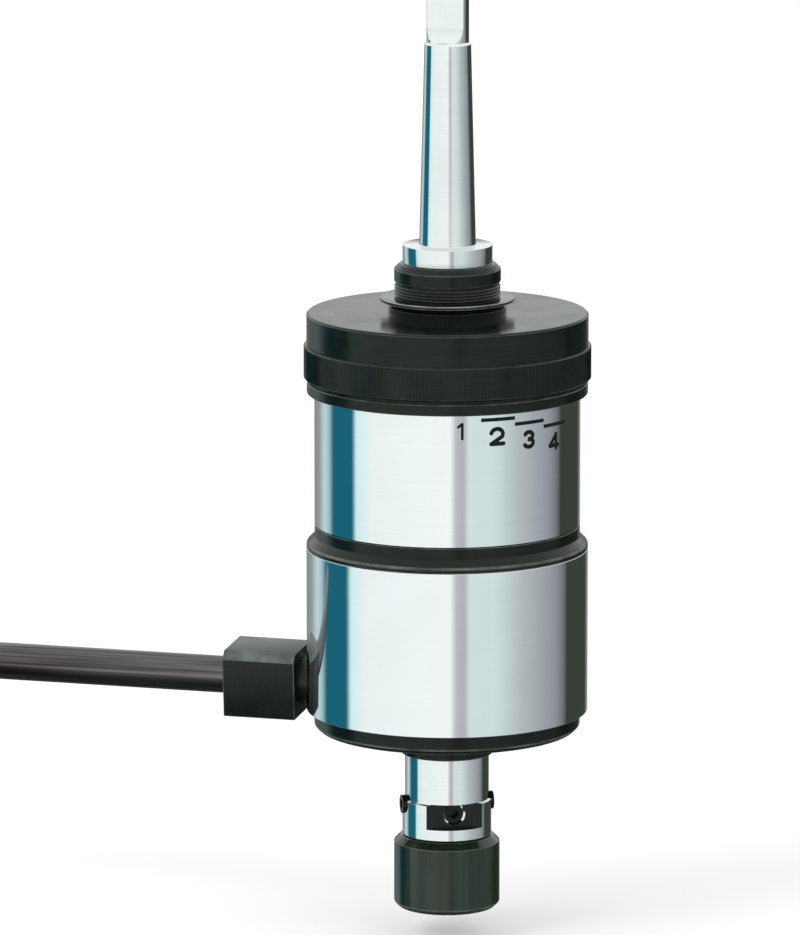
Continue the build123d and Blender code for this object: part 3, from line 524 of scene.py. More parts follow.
def output(tree, kind, socket, inputs=None, **settings):
    """One output of a new shader node."""
    return node(tree, kind, inputs, **settings).outputs[socket]


def empty_tree(owner):
    """Node tree of a material or a world, with nothing in it."""
    owner.use_nodes = True
    owner.node_tree.nodes.clear()
    return owner.node_tree


def own_place(tree):
    """Place in the piece's own axes."""
    return output(tree, "TexCoord", "Object")


def noise(tree, vector, scale, detail=3.0, roughness=0.55):
    inputs = {"Vector": vector, "Scale": scale, "Detail": detail, "Roughness": roughness}
    return output(tree, "TexNoise", "Fac", inputs)


def spread(tree, value, source, target=(0.0, 1.0)):
    """Maps a value from one range to another."""
    inputs = zip(("Value", "From Min", "From Max", "To Min", "To Max"), (value, *source, *target))
    return output(tree, "MapRange", "Result", dict(inputs))


def product(tree, first, second):
    return output(tree, "Math", "Value", {0: first, 1: second}, operation="MULTIPLY")


def reach_of(tree, vector):
    """Length of a vector."""
    return output(tree, "VectorMath", "Value", {0: vector}, operation="LENGTH")


def blend(tree, factor, first, second):
    """Colour between two others."""
    return output(tree, "Mix", 2, {0: factor, 6: first, 7: second}, data_type="RGBA")


def either(tree, factor, first, second):
    """Shader between two others."""
    return output(tree, "MixShader", "Shader", {0: factor, 1: first, 2: second})


def background(tree, shade, strength=1.0):
    return output(tree, "Background", "Background", {"Color": shade, "Strength": strength})


def turned_grain(tree):
    """Coordinates in which a fine noise draws the tool marks of a turned or ground surface."""
    place = own_place(tree)
    parts = node(tree, "SeparateXYZ", {"Vector": place}).outputs
    flat = output(tree, "CombineXYZ", "Vector", {"X": parts["X"], "Y": parts["Y"]})
    return output(tree, "CombineXYZ", "Vector", {"X": reach_of(tree, flat), "Z": parts["Z"]}), place


def stretched(tree, *scales):
    """Coordinates drawn out along the axes that have a small scale."""
    place = own_place(tree)
    return [output(tree, "Mapping", "Vector", {"Vector": place, "Scale": scale}) for scale in scales]


def drawn_grain(tree):
    """Fine and broad streaks along the torque rod."""
    return stretched(tree, (0.005, 1.0, 1.0), (0.03, 1.0, 1.0))


def streaked_grain(tree):
    """Fine and broad streaks down a piece, partly of oil and partly painted reflection."""
    return stretched(tree, (1.0, 1.0, 0.03), (1.0, 1.0, 0.15))


def plain_grain(tree):
    place = own_place(tree)
    return place, place


def opaque(value):
    return (*value, 1.0)


def dimmed(value, share):
    return tuple(channel * share for channel in value)


def surface(name, low_colour, high_colour, metallic, rough, grain=turned_grain, line_scale=2600.0,
            patch_scale=60.0, bump=0.12, bump_depth=0.02, worn_edge=None, specular=0.5):
    """Procedural finish: tool marks or grain, patches of tone and of gloss, and rounded edges lightened for wear and as
    a painted glint.
    """
    made = bpy.data.materials.new(name)
    tree = empty_tree(made)
    fine_vector, place = grain(tree)
    lines = noise(tree, fine_vector, line_scale, detail=4.0, roughness=0.6)
    patches = noise(tree, place, patch_scale, detail=4.0)
    tone = spread(tree, product(tree, lines, patches), TONE_RANGE)
    shade = blend(tree, tone, opaque(low_colour), opaque(high_colour))
    gloss = spread(tree, patches, PATCH_RANGE, rough)
    # Rounded edges are lightened by the edge mark: wear together with a painted glint
    if worn_edge:
        edge = output(tree, "Attribute", "Fac", attribute_name="wear")
        edge_break = spread(tree, noise(tree, place, EDGE_BREAK_SCALE), EDGE_BREAK_RANGE, (LEAST_EDGE_BREAK, 1.0))
        shade = blend(tree, product(tree, edge, edge_break), shade, opaque(worn_edge))
    dents = {"Strength": bump, "Distance": bump_depth * MM, "Height": lines}
    shader = output(tree, "BsdfPrincipled", "BSDF", {
        "Base Color": shade, "Metallic": metallic, "Roughness": gloss, "Specular IOR Level": specular,
        "Normal": output(tree, "Bump", "Normal", dents),
    })
    node(tree, "OutputMaterial", {"Surface": shader}, is_active_output=True)
    return made


# For each finish the colours that its dark and light tones start from with their shares, how metallic it is,
# its roughness where it is glossy and where it is dull, and what else sets it apart
# The edge colour of a finish lightens its rounded edges, for wear and as a painted glint
FINISHES = {
    "hard_chrome": (("chrome", 0.96), ("chrome", 1.0), 1.0, (0.04, 0.07), {
        "bump": 0.02, "bump_depth": 0.01,
    }),
    "ground_steel": (("ground", 0.92), ("ground", 1.0), 1.0, (0.05, 0.08), {
        "bump": 0.03, "bump_depth": 0.01,
    }),
    "black_oxide": (("black", 1.0), ("black_worn", 1.0), 0.0, (0.13, 0.22), {
        "patch_scale": 90.0, "bump": 0.08, "worn_edge": (0.13, 0.14, 0.13), "specular": 0.22,
    }),
    "milled_black": (("black", 1.0), ("black_worn", 1.2), 0.0, (0.18, 0.30), {
        "grain": plain_grain, "line_scale": 1500.0, "bump": 0.10, "worn_edge": (0.15, 0.18, 0.17),
        "specular": 0.28,
    }),
    # Its lighter streaks are partly oil and partly painted reflection
    "oiled_black": (("nut_green", 1.0), ("nut_streak", 1.0), 0.0, (0.10, 0.18), {
        "grain": streaked_grain, "line_scale": 140.0, "patch_scale": 70.0, "bump": 0.03,
        "worn_edge": (0.13, 0.15, 0.13), "specular": 0.42,
    }),
    "blackened_bar": (("bar", 1.0), ("bar_streak", 1.0), 1.0, (0.20, 0.34), {
        "grain": drawn_grain, "line_scale": 1500.0, "patch_scale": 420.0, "worn_edge": (0.25, 0.23, 0.22),
    }),
    "scale_ink": (("ink", 1.0), ("ink", 2.2), 0.0, (0.4, 0.55), {
        "grain": plain_grain, "line_scale": 1800.0, "specular": 0.15,
    }),
    # The spring ring's pale edge colour is mostly a painted glint along its edges
    "blued_spring": (("black", 1.0), ("black_worn", 1.0), 0.0, (0.10, 0.18), {
        "bump": 0.05, "worn_edge": (0.45, 0.46, 0.46),
    }),
    "gear_steel": (("gear", 0.75), ("gear", 1.0), 1.0, (0.22, 0.34), {"line_scale": 1500.0, "bump": 0.15}),
    "bearing_steel": (("bearing", 0.9), ("bearing", 1.0), 1.0, (0.10, 0.16), {}),
    "spring_steel": (("spring", 0.5), ("spring", 1.0), 0.85, (0.22, 0.36), {"worn_edge": (0.5, 0.5, 0.5)}),
    "bronze": (("bronze", 0.7), ("bronze", 1.0), 1.0, (0.22, 0.34), {"line_scale": 1200.0}),
    "lining": (("lining", 0.5), ("lining", 1.0), 0.0, (0.7, 0.9), {
        "grain": plain_grain, "line_scale": 900.0, "bump": 0.3,
    }),
    "seal_rubber": (("rubber", 1.0), ("rubber", 1.8), 0.0, (0.5, 0.7), {
        "grain": plain_grain, "line_scale": 700.0,
    }),
}
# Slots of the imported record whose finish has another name
SLOT_FINISH = {"chrome": "hard_chrome", "rod_black": "blackened_bar"}


def finish(name):
    """Material of a finish, made when a piece first asks for it."""
    made = bpy.data.materials.get(name + "_finish")
    if made is None:
        *tones, metallic, rough, details = FINISHES[name]
        colours = bpy.context.scene.head_finishes
        low, high = (dimmed(getattr(colours, setting), share) for setting, share in tones)
        made = surface(name + "_finish", low, high, metallic, rough, **details)
    return made


# Pieces

SLEEVE_WALL = 2.1 * MM


class HEAD_OT_carried(bpy.types.Operator):
    """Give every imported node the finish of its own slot"""

    bl_idname = "tapping_head.carried"
    bl_label = "Inner pieces"

    def execute(self, context):
        for name, piece in NODES.items():
            material = finish(SLOT_FINISH.get(SLOT_OF[name], SLOT_OF[name]))
            for slot in piece.material_slots:
                slot.material = material
        return {"FINISHED"}


class HEAD_OT_arbor(bpy.types.Operator):
    """Taper arbor with its ground collar and tang"""

    bl_idname = "tapping_head.arbor"
    bl_label = "Taper arbor"

    def execute(self, context):
        sizes = context.scene.head_sizes
        collar_r, spigot_low, shank_top = extent("taper_arbor")
        collar_low, collar_top = top_of("neck_ring"), -5.0 * MM
        gauge_r, taper = 8.89 * MM, 1 / 20.02
        tang_len, tang_r, tang_half, cutter_r = 16.0 * MM, 6.75 * MM, 3.15 * MM, 6.0 * MM
        spigot_r, end_bevel, rows = 8.0 * MM, 1.0 * MM, 14
        tang_low = shank_top - tang_len
        large_r = gauge_r - collar_top * taper / 2
        small_r = gauge_r - tang_low * taper / 2
        neck_z = tang_low + small_r - tang_r
        flat_height = shank_top - 2 * end_bevel - neck_z

        def tang_flats(point):
            """Mills the two flats of the tang, with the cutter's round run-out."""
            rise = point.z - tang_low
            if rise > 0:
                run = max(cutter_r - rise, 0.0)
                room = tang_half + cutter_r - sqrt(cutter_r ** 2 - run ** 2)
                point.y = max(-room, min(room, point.y))
            return point

        tang_rows = [(tang_r, neck_z + flat_height * step / rows) for step in range(1, rows)]
        corners = [
            (0, spigot_low), (spigot_r, spigot_low), (spigot_r, collar_low),
            (collar_r, collar_low), (collar_r, collar_top), (large_r, collar_top),
            (small_r, tang_low), (tang_r, neck_z), *tang_rows,
            (tang_r, shank_top - end_bevel), (tang_r - end_bevel, shank_top), (0, shank_top),
        ]
        turned("arbor", corners, sizes.fine_round, "drive", "taper_arbor", "ground_steel", shape=tang_flats)
        return {"FINISHED"}


class HEAD_OT_neck(bpy.types.Operator):
    """Neck ring, thread and the open spring ring above the cap"""

    bl_idname = "tapping_head.neck"
    bl_label = "Neck"

    def execute(self, context):
        sizes = context.scene.head_sizes
        outer, low, high = extent("neck_ring")
        bore, bevel = 12.0 * MM, 1.8 * MM
        corners = [(bore, low), (outer, low), (outer, high - bevel), (outer - bevel, high), (bore, high)]
        turned("neck_nut", corners, sizes.edge_round, "drive", "neck_ring", "black_oxide")

        clip_r, clip_low, clip_top = extent("neck_circlip")
        neck_r = outer - 0.5 * MM
        core_r, root_r, crest_r = neck_r - 1.0 * MM, neck_r + 0.05 * MM, neck_r + sizes.thread_depth
        ridge_round, nut_gap, clip_gap, low_length = 0.12 * MM, 0.9 * MM, 0.3 * MM, 2.7 * MM
        for name, top, foot in (
            ("neck_thread", low - nut_gap, clip_top + clip_gap),
            ("neck_thread_low", clip_low - clip_gap, clip_low - clip_gap - low_length),
        ):
            turns = max(1, round((top - foot) / sizes.thread_pitch))
            pitch = (top - foot) / turns
            corners = [(core_r, top), (core_r, foot)]
            for turn in range(turns):
                corners.append((root_r, foot + turn * pitch))
                corners.append((crest_r, foot + (turn + 0.5) * pitch))
            corners.append((root_r, top))
            turned(name, corners, ridge_round, "drive", None, "black_oxide", slot="black_oxide")

        clip_bore, opening_width, middle = neck_r - 1.2 * MM, 6.0 * MM, radians(50.0)
        half = opening_width / 2 / clip_r
        turned(
            "spring_clip", ring(clip_bore, clip_r, clip_low, clip_top), sizes.edge_round, "drive",
            "neck_circlip", "blued_spring", opening=(middle - half, middle + half),
        )
        return {"FINISHED"}


class HEAD_OT_cap(bpy.types.Operator):
    """Torque cap, its knurled grip and the reading rim"""

    bl_idname = "tapping_head.cap"
    bl_label = "Torque cap"

    def execute(self, context):
        sizes = context.scene.head_sizes
        cap_r, hub_top = radius_of("adjusting_cap"), top_of("adjusting_cap")
        grip_r, grip_low, grip_top = extent("grip_ring")
        rim_r, rim_low, rim_top = extent("index_rim")
        skirt_r = rim_r - 0.8 * MM
        inner_r = radius_of("clutch_barrel") + 0.2 * MM
        bore_r, hub_r, bevel = 16.8 * MM, 18.8 * MM, 0.6 * MM
        cap_top = grip_top + 10.3 * MM
        plate_low = cap_top - 5.0 * MM
        thread_r, thread_low = inner_r - 2.1 * MM, plate_low - 12.8 * MM
        corners = [
            (bore_r, hub_top), (hub_r - bevel, hub_top), (hub_r, hub_top - bevel), (hub_r, cap_top),
            (cap_r - bevel, cap_top), (cap_r, cap_top - bevel), (cap_r, grip_top), (skirt_r, grip_top),
            (skirt_r, rim_top), (inner_r, rim_top), (inner_r, thread_low), (thread_r, thread_low),
            (thread_r, plate_low), (bore_r, plate_low),
        ]
        turned("torque_cap", corners, sizes.fine_round, "cap", "adjusting_cap", "black_oxide")

        ridges, ridge_steps = round(2 * pi * grip_r / sizes.knurl_pitch), 4
        upper, lower, soft = 0.35 * MM, 0.7 * MM, 0.15 * MM
        pressed_r = grip_r - lower * 0.6
        corners = [
            (skirt_r, grip_low), (grip_r - lower, grip_low), (grip_r, grip_low + lower),
            (grip_r, grip_top - upper), (grip_r - upper, grip_top), (skirt_r, grip_top),
        ]
        depth = sizes.knurl_depth

        def knurl(point):
            """Presses straight grooves between the ridges of the grip."""
            reach = hypot(point.x, point.y)
            if reach > pressed_r:
                turn = atan2(point.y, point.x) / (2 * pi) * ridges
                groove = abs((turn + 0.5) % 1.0 - 0.5) * 2
                share = (reach - depth * groove) / reach
                point.x *= share
                point.y *= share
            return point

        turned(
            "knurled_grip", corners, soft, "cap", "grip_ring", "black_oxide",
            steps=ridges * ridge_steps, shape=knurl,
        )
        corners = ring(inner_r, rim_r, rim_low, rim_top)
        turned("reading_rim", corners, sizes.edge_round, "cap", "index_rim", "black_oxide")
        return {"FINISHED"}


def arc_points(centre_x, centre_y, radius, start, end, height, count=18):
    """Points of an elliptic arc, its angles in degrees."""
    points = []
    for step in range(count + 1):
        angle = radians(start + (end - start) * step / count)
        points.append((centre_x + radius * cos(angle), centre_y + height * sin(angle)))
    return points


def figure_strokes():
    """Centre lines of the figures 1 to 4 in a box one high, from its foot."""
    upper_bow = arc_points(0.0, 0.70, 0.27, 155, -85, height=0.21)
    lower_bow = arc_points(0.0, 0.31, 0.30, 85, -155, height=0.22)
    return {
        1: [[(-0.18, 0.74), (0.04, 0.91), (0.04, 0.09)]],
        2: [arc_points(0.0, 0.62, 0.34, 168, -30, height=0.29) + [(-0.34, 0.09), (0.38, 0.09)]],
        3: [upper_bow, lower_bow],
        4: [[(0.14, 0.10), (0.14, 0.88), (-0.40, 0.27), (0.34, 0.27)]],
    }


def reach_to_stroke(x, y, strokes):
    """Distance from a point to the nearest centre line."""
    nearest = 1.0
    for points in strokes:
        for (x0, y0), (x1, y1) in zip(points, points[1:]):
            across, up = x1 - x0, y1 - y0
            share = ((x - x0) * across + (y - y0) * up) / (across ** 2 + up ** 2)
            share = max(0.0, min(1.0, share))
            nearest = min(nearest, hypot(x - x0 - share * across, y - y0 - share * up))
    return nearest


def engrave(made, strokes, width, place, cell=0.13 * MM):
    """Skin of crossing round-ended strokes, cut from a grid of fine cells and put in space by place."""
    half = width / 2
    across = [x / cell for points in strokes for x, y in points]
    up = [y / cell for points in strokes for x, y in points]
    margin = int(half / cell) + 2
    columns = range(int(min(across)) - margin, int(max(across)) + margin + 1)
    rows = range(int(min(up)) - margin, int(max(up)) + margin + 1)
    depth = {(i, j): half - reach_to_stroke(i * cell, j * cell, strokes) for i in columns for j in rows}
    points = {}

    def point(*ends):
        """Grid point, or the place between two of them where the stroke's edge passes."""
        ends = tuple(sorted(ends))
        if ends not in points:
            first, last = ends[0], ends[-1]
            share = depth[first] / (depth[first] - depth[last]) if first != last else 0.0
            x, y = (a + (b - a) * share for a, b in zip(first, last))
            points[ends] = made.verts.new(place(x * cell, y * cell))
        return points[ends]

    for i in columns[:-1]:
        for j in rows[:-1]:
            square = [(i, j), (i + 1, j), (i + 1, j + 1), (i, j + 1)]
            outline = []
            for first, last in zip(square, square[1:] + square[:1]):
                if depth[first] > 0:
                    outline.append(point(first))
                if (depth[first] > 0) != (depth[last] > 0):
                    outline.append(point(first, last))
            if len(outline) > 2:
                made.faces.new(outline)


class HEAD_OT_barrel(bpy.types.Operator):
    """Chrome barrel's setting lines and figures"""

    bl_idname = "tapping_head.barrel"
    bl_label = "Barrel scale"

    def execute(self, context):
        sizes = context.scene.head_sizes
        barrel_r = radius_of("clutch_barrel")
        first_line = bottom_of("index_rim") + sizes.first_line
        sector, start, tall = sizes.scale_sector, sizes.scale_start, sizes.figure_height
        skin_r = barrel_r + sizes.ink_lift
        line_cells, line_middle, figure_middle = 24, 0.5, 0.54

        def on_barrel(middle, height):
            """Maps a flat sketch round the barrel about an angle and a foot height."""
            def place(x, y):
                angle = middle + x / barrel_r
                return (skin_r * cos(angle), skin_r * sin(angle), height + y)
            return place

        made = bmesh.new()
        half = sector * barrel_r / 2
        stops = [-half + 2 * half * step / line_cells for step in range(line_cells + 1)]
        for figure, strokes in figure_strokes().items():
            line = first_line - (figure - 1) * sizes.scale_step
            place = on_barrel(start + (figure - line_middle) * sector, line + sizes.line_height / 2)
            upper = [made.verts.new(place(x, 0.0)) for x in stops]
            lower = [made.verts.new(place(x, -sizes.line_height)) for x in stops]
            for step in range(line_cells):
                made.faces.new((lower[step], lower[step + 1], upper[step + 1], upper[step]))
            place = on_barrel(start + (figure - figure_middle) * sector, line - sizes.figure_drop)
            width = sizes.first_stroke if figure == 1 else sizes.figure_stroke
            engrave(made, [[(x * tall, y * tall) for x, y in stroke] for stroke in strokes], width, place)
        made.normal_update()
        bmesh.ops.solidify(made, geom=made.faces[:], thickness=sizes.ink_lift)
        mesh = mesh_of(made, "barrel_scale")
        finish_mesh("barrel_scale", mesh, "barrel", finish_name="scale_ink", slot="black_oxide")
        return {"FINISHED"}


class HEAD_OT_housing(bpy.types.Operator):
    """Black gear housing, chrome sleeve and black bottom cover"""

    bl_idname = "tapping_head.housing"
    bl_label = "Housing"

    def execute(self, context):
        sizes = context.scene.head_sizes
        sleeve_r, sleeve_low, sleeve_top = extent("outer_sleeve")
        arm = outward_place(pi, (top_of("torque_rod") + bottom_of("torque_rod")) / 2)
        housing_r = sleeve_r - SLEEVE_WALL
        bore_r = housing_r - 2.9 * MM
        bolt_r, root_hole_r = 3.0 * MM, 8.1 * MM

        neck_r, top = radius_of("clutch_barrel"), top_of("gear_housing")
        neck_low, shoulder, shoulder_round = top - 3.6 * MM, top - 6.1 * MM, 1.5 * MM
        seat_r = bore_r - 1.0 * MM
        lip_r = seat_r - 2.1 * MM
        carrier_low, carrier_top = extent("planet_carrier")[1:]
        main_top = top_of("main_bearing_outer")
        corners = [
            (lip_r, top), (neck_r, top), (neck_r, neck_low), (sleeve_r, shoulder, shoulder_round),
            (sleeve_r, sleeve_top), (housing_r, sleeve_top), (housing_r, sleeve_low), (bore_r, sleeve_low),
            (bore_r, carrier_top), (seat_r, carrier_top), (seat_r, main_top), (lip_r, main_top),
        ]
        hole = drum(bolt_r, bore_r - 2 * PAST, sleeve_r, arm)
        turned("housing_shell", corners, sizes.edge_round, "housing", "gear_housing", "black_oxide", [hole])

        corners = ring(housing_r, sleeve_r, sleeve_low, sleeve_top)
        hole = drum(root_hole_r, housing_r - 4 * PAST, sleeve_r + 2 * PAST, arm)
        turned("chrome_sleeve", corners, sizes.fine_round, "housing", "outer_sleeve", "hard_chrome", [hole])

        cover_r, boss_low = extent("bottom_cover")[:2]
        seal_r, seal_low = extent("wiper_seal")[:2]
        race_r, race_low, race_top = extent("bottom_bearing_outer")
        low = sleeve_low - 6.2 * MM
        boss_r, boss_bore = seal_r - 3.2 * MM, seal_r - 4.4 * MM
        chamber_r = bore_r - 7.0 * MM
        relief_r, relief_low = race_r - 2.8 * MM, race_low - 1.0 * MM
        flange_edge, flange_round, boss_round = 1.5 * MM, 1.1 * MM, 0.5 * MM
        spanner_r, spanner_inset, spanner_depth = 2.5 * MM, 9.6 * MM, 4.0 * MM
        corners = [
            (chamber_r, carrier_low), (bore_r, carrier_low), (bore_r, sleeve_low), (cover_r, sleeve_low),
            (cover_r, low + flange_edge, flange_round), (cover_r - flange_edge, low, flange_round),
            (boss_r, low), (boss_r, boss_low, boss_round), (boss_bore, boss_low), (boss_bore, seal_low),
            (seal_r, seal_low), (seal_r, relief_low), (relief_r, relief_low), (relief_r, race_low),
            (race_r, race_low), (race_r, race_top), (chamber_r, race_top),
        ]
        tools = [drum(bolt_r, chamber_r - 3 * PAST, bore_r + PAST, arm)]
        for turn in (pi / 2, 3 * pi / 2):
            place = Matrix.Rotation(turn, 4, "Z") @ Matrix.Translation((cover_r - spanner_inset, 0, low))
            tools.append(drum(spanner_r, -PAST, spanner_depth, place))
        turned("cover", corners, sizes.edge_round, "housing", "bottom_cover", "black_oxide", tools)
        return {"FINISHED"}


class HEAD_OT_torque_arm(bpy.types.Operator):
    """Block and bar that keep the housing from turning"""

    bl_idname = "tapping_head.torque_arm"
    bl_label = "Torque arm"

    def execute(self, context):
        sizes = context.scene.head_sizes
        rod_low, rod_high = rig.box("torque_rod")
        rod_r, arm_z = (rod_high.z - rod_low.z) / 2, (rod_high.z + rod_low.z) / 2
        arm, upright = outward_place(pi, arm_z), Matrix.Translation((0, 0, arm_z))
        sleeve_r = radius_of("outer_sleeve")
        housing_r = sleeve_r - SLEEVE_WALL
        start, end = sleeve_r + 3.0 * MM, sleeve_r + 27.0 * MM
        wide, tall, bevel, root_r = 22.0 * MM, 21.6 * MM, 2.5 * MM, 8.0 * MM
        thread_r, thread_start, bolt_r, bolt_end = 5.2 * MM, end - 20.8 * MM, 3.1 * MM, end - 20.0 * MM
        least_flat, least_slant, most_slant = 10 * MM * MM, 0.4, 0.9

        made = bmesh.new()
        bmesh.ops.create_cube(made, size=1.0, matrix=Matrix.Diagonal((end - start, wide, tall, 1.0)))
        upper = [edge for edge in made.edges if all(point.co.z > 0 for point in edge.verts)]
        long_edges = [edge for edge in upper if abs(edge.verts[0].co.y - edge.verts[1].co.y) < wide / 2]
        bmesh.ops.bevel(made, geom=long_edges, offset=bevel, affect="EDGES", segments=1)
        bmesh.ops.bevel(
            made, geom=list(made.edges), offset=sizes.edge_round, affect="EDGES", segments=3, profile=0.5
        )
        turn = Matrix.Rotation(sizes.block_roll, 4, "X")
        middle = Matrix.Translation((-(start + end) / 2, 0, arm_z))
        bmesh.ops.transform(made, matrix=middle @ turn, verts=made.verts)
        # Bevels that slant upwards take the edge mark as a painted highlight, and the rounded edges take it as wear
        # with a painted glint
        wears_and_glints = []
        for point in made.verts:
            flats = [face for face in point.link_faces if face.calc_area() > least_flat]
            slanted = any(least_slant < face.normal.z < most_slant for face in flats)
            wears_and_glints.append(1.0 if slanted or not flats else 0.0)
        block = mesh_of(made, "block")
        block.attributes.new("wear", "FLOAT", "POINT").data.foreach_set("value", wears_and_glints)
        cutters = [
            drum(housing_r, -tall, tall, upright, steps=256),
            drum(thread_r, thread_start, end + PAST, arm),
            drum(bolt_r, housing_r - PAST, bolt_end, arm),
        ]
        root = drum(root_r, housing_r - PAST, start + PAST, arm, steps=96)
        cut_piece("arm_block_dressed", block, "housing", "arm_block", "milled_black", cutters, [root])

        inner, outer, bevel = end - 14.5 * MM, -rod_low.x, 1.0 * MM
        corners = [
            (0, inner), (thread_r - bevel, inner), (thread_r, inner + bevel), (thread_r, end),
            (rod_r, end), (rod_r, outer - bevel), (rod_r - bevel, outer), (0, outer),
        ]
        mesh = lathe("torque_bar", corners, sizes.fine_round, sizes.turn_steps)
        mesh.transform(arm)
        finish_mesh("torque_bar", mesh, "housing", "torque_rod", "blackened_bar")
        return {"FINISHED"}


class HEAD_OT_spindle(bpy.types.Operator):
    """Tap spindle with its blackened wrench flats and the seats of the square screws"""

    bl_idname = "tapping_head.spindle"
    bl_label = "Tap spindle"

    def execute(self, context):
        sizes = context.scene.head_sizes
        head_r, nose_low, stem_top = extent("tap_spindle")
        spindle_r, nose_r = head_r - 0.8 * MM, head_r - 1.8 * MM
        stem_r, seat_r, shaft_r, groove_r, bore_r = 8.0 * MM, 8.5 * MM, 10.0 * MM, 9.4 * MM, 6.5 * MM
        cone_low, cone_top = extent("clutch_cone")[1:]
        ring_low, ring_top = extent("spring_ring")[1:]
        guided_top = top_of("guide_bush") - 4.5 * MM
        head_low = top_of("collet_nut") + 0.1 * MM
        flat_top = head_low + 12.1 * MM
        flat_low = flat_top - 8.2 * MM
        step_top = flat_top - 0.25 * MM
        step_low = step_top - 0.15 * MM
        seat_top, bore_top = top_of("tap_collet") + 1.0 * MM, flat_top + 5.0 * MM
        mouth_r, soft = nose_r - 2.1 * MM, 0.5 * MM
        collet_taper, drill_point = radians(8.0), radians(31.0)
        throat_r = mouth_r - (seat_top - nose_low) * tan(collet_taper)
        drill_tip = bore_top + bore_r * tan(drill_point)
        corners = [
            (0, stem_top), (stem_r, stem_top), (stem_r, cone_top), (seat_r, cone_top), (seat_r, cone_low),
            (shaft_r, cone_low), (shaft_r, ring_top), (groove_r, ring_top), (groove_r, ring_low),
            (shaft_r, ring_low), (shaft_r, guided_top), (spindle_r, guided_top), (spindle_r, step_top),
            (head_r, step_low), (head_r, head_low, soft), (nose_r, head_low), (nose_r, nose_low, soft),
            (mouth_r, nose_low), (throat_r, seat_top), (bore_r, seat_top), (bore_r, bore_top), (0, drill_tip),
        ]
        half, slab_thick, slab_wide = 11.0 * MM, 10.0 * MM, 40.0 * MM
        cutters = []
        for side in (0, pi):
            made = bmesh.new()
            size = Matrix.Diagonal((slab_thick, slab_wide, flat_top - flat_low, 1.0))
            place = Matrix.Translation((half + slab_thick / 2, 0, (flat_top + flat_low) / 2))
            turn = Matrix.Rotation(sizes.flat_angle + side, 4, "Z")
            bmesh.ops.create_cube(made, size=1.0, matrix=turn @ place @ size)
            slab = mesh_of(made, "flat")
            slab.materials.append(finish("milled_black"))
            cutters.append(slab)
        hole_r, hole_start = 3.0 * MM, 2.0 * MM
        seat_mouth_r, seat_depth, proud = 3.6 * MM, 1.3 * MM, 0.08 * MM
        for index in range(4):
            low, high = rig.box(f"square_screw_{index + 1}")
            place = outward_place(sizes.flat_angle + index * pi / 2, (low.z + high.z) / 2)
            cutters.append(drum(hole_r, hole_start, head_r + 2 * PAST, place, finish_name="black_oxide"))
            if index % 2 == 0:
                foot_r = seat_mouth_r - seat_depth
                cutters.append(drum(foot_r, half - seat_depth, half + proud, place, flare=seat_depth + proud))
        turned("spindle", corners, sizes.fine_round, "tap_spindle", "tap_spindle", "ground_steel", cutters)
        return {"FINISHED"}


class HEAD_OT_nut(bpy.types.Operator):
    """Collet nut"""

    bl_idname = "tapping_head.nut"
    bl_label = "Collet nut"

    def execute(self, context):
        sizes = context.scene.head_sizes
        outer, low, high = extent("collet_nut")
        thread_r, throat_r, mouth_r = 12.6 * MM, 10.45 * MM, 7.85 * MM
        thread_low, mouth_top = high - 15.2 * MM, low + 3.2 * MM
        throat_low = thread_low - 0.8 * MM
        top_bevel, low_bevel, soft = 2.1 * MM, 1.6 * MM, 1.0 * MM
        corners = [
            (thread_r, high), (outer - top_bevel, high), (outer, high - top_bevel),
            (outer, low + low_bevel, soft), (outer - low_bevel, low, soft), (mouth_r, low),
            (mouth_r, mouth_top), (throat_r, throat_low), (throat_r, thread_low), (thread_r, thread_low),
        ]
        turned("nut", corners, sizes.edge_round, "collet_nut", "collet_nut", "oiled_black")
        return {"FINISHED"}


# Stacks of disc springs: the piece and its node, how many discs, their bore and thickness in millimetres,
# the body that they ride on, the joint that squeezes them and the end that stays in place
DISC_STACKS = (
    ("clutch_discs", "clutch_springs", 8, 20.0, 1.2, "barrel", "cap_travel", bottom_of),
    ("upper_float_discs", "upper_float_springs", 3, 9.0, 0.8, "tap_spindle", "spindle_float", bottom_of),
    ("lower_float_discs", "lower_float_springs", 4, 10.8, 0.8, "tap_spindle", "spindle_float", top_of),
)
DISC_ROUND = 0.15 * MM
DISC_STEPS = 96
# How much flatter than the joint's travel a stack gets, as a share of its height, so that it never touches
SQUEEZE_SLACK = 0.01


class HEAD_OT_springs(bpy.types.Operator):
    """Stacks of conical disc springs, which flatten as the joint beside them moves"""

    bl_idname = "tapping_head.springs"
    bl_label = "Disc springs"

    def execute(self, context):
        travel = {joint["name"]: max(abs(end) for end in joint["range_m"])
                  for joint in frame["joints"] if joint.get("range_m")}
        for name, node_name, count, bore, thickness, body, joint, held in DISC_STACKS:
            inner, thick = bore * MM, thickness * MM
            outer, low, high = extent(node_name)
            pitch = (high - low) / count
            discs = []
            for index in range(count):
                foot, rise = low + index * pitch, pitch - thick
                at_inner, at_outer = (rise, 0.0) if index % 2 == 0 else (0.0, rise)
                corners = [
                    (inner, foot + at_inner), (outer, foot + at_outer),
                    (outer, foot + at_outer + thick), (inner, foot + at_inner + thick),
                ]
                discs.append(lathe("disc", corners, DISC_ROUND, DISC_STEPS))
            piece = finish_mesh(name, joined(name, discs), body, node_name, "spring_steel")
            keep = (high - low - travel[joint]) / (high - low) - SQUEEZE_SLACK
            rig.squash(piece, joint, axis=(0, 0, 1), anchor=(0, 0, held(node_name)), keep=keep)
        return {"FINISHED"}


# Studio

FLOOR_RADIUS = 8.0
# Scale of the floor's faint patches, and the share of its brightness that the darker ones have
FLOOR_PATCHES = 3.0
FLOOR_DARK = 0.985
# Brightness that the camera's own rays add to the floor near the head and far away, where the lamps reach
# less, so that its lit part is white and its shadow stays, and the distances between which it changes
FLOOR_LIFT = (0.28, 0.62)
LIFT_RANGE = (0.9, 3.5)

# Strength of the even light on dull surfaces
SOFT_LIGHT = 0.66

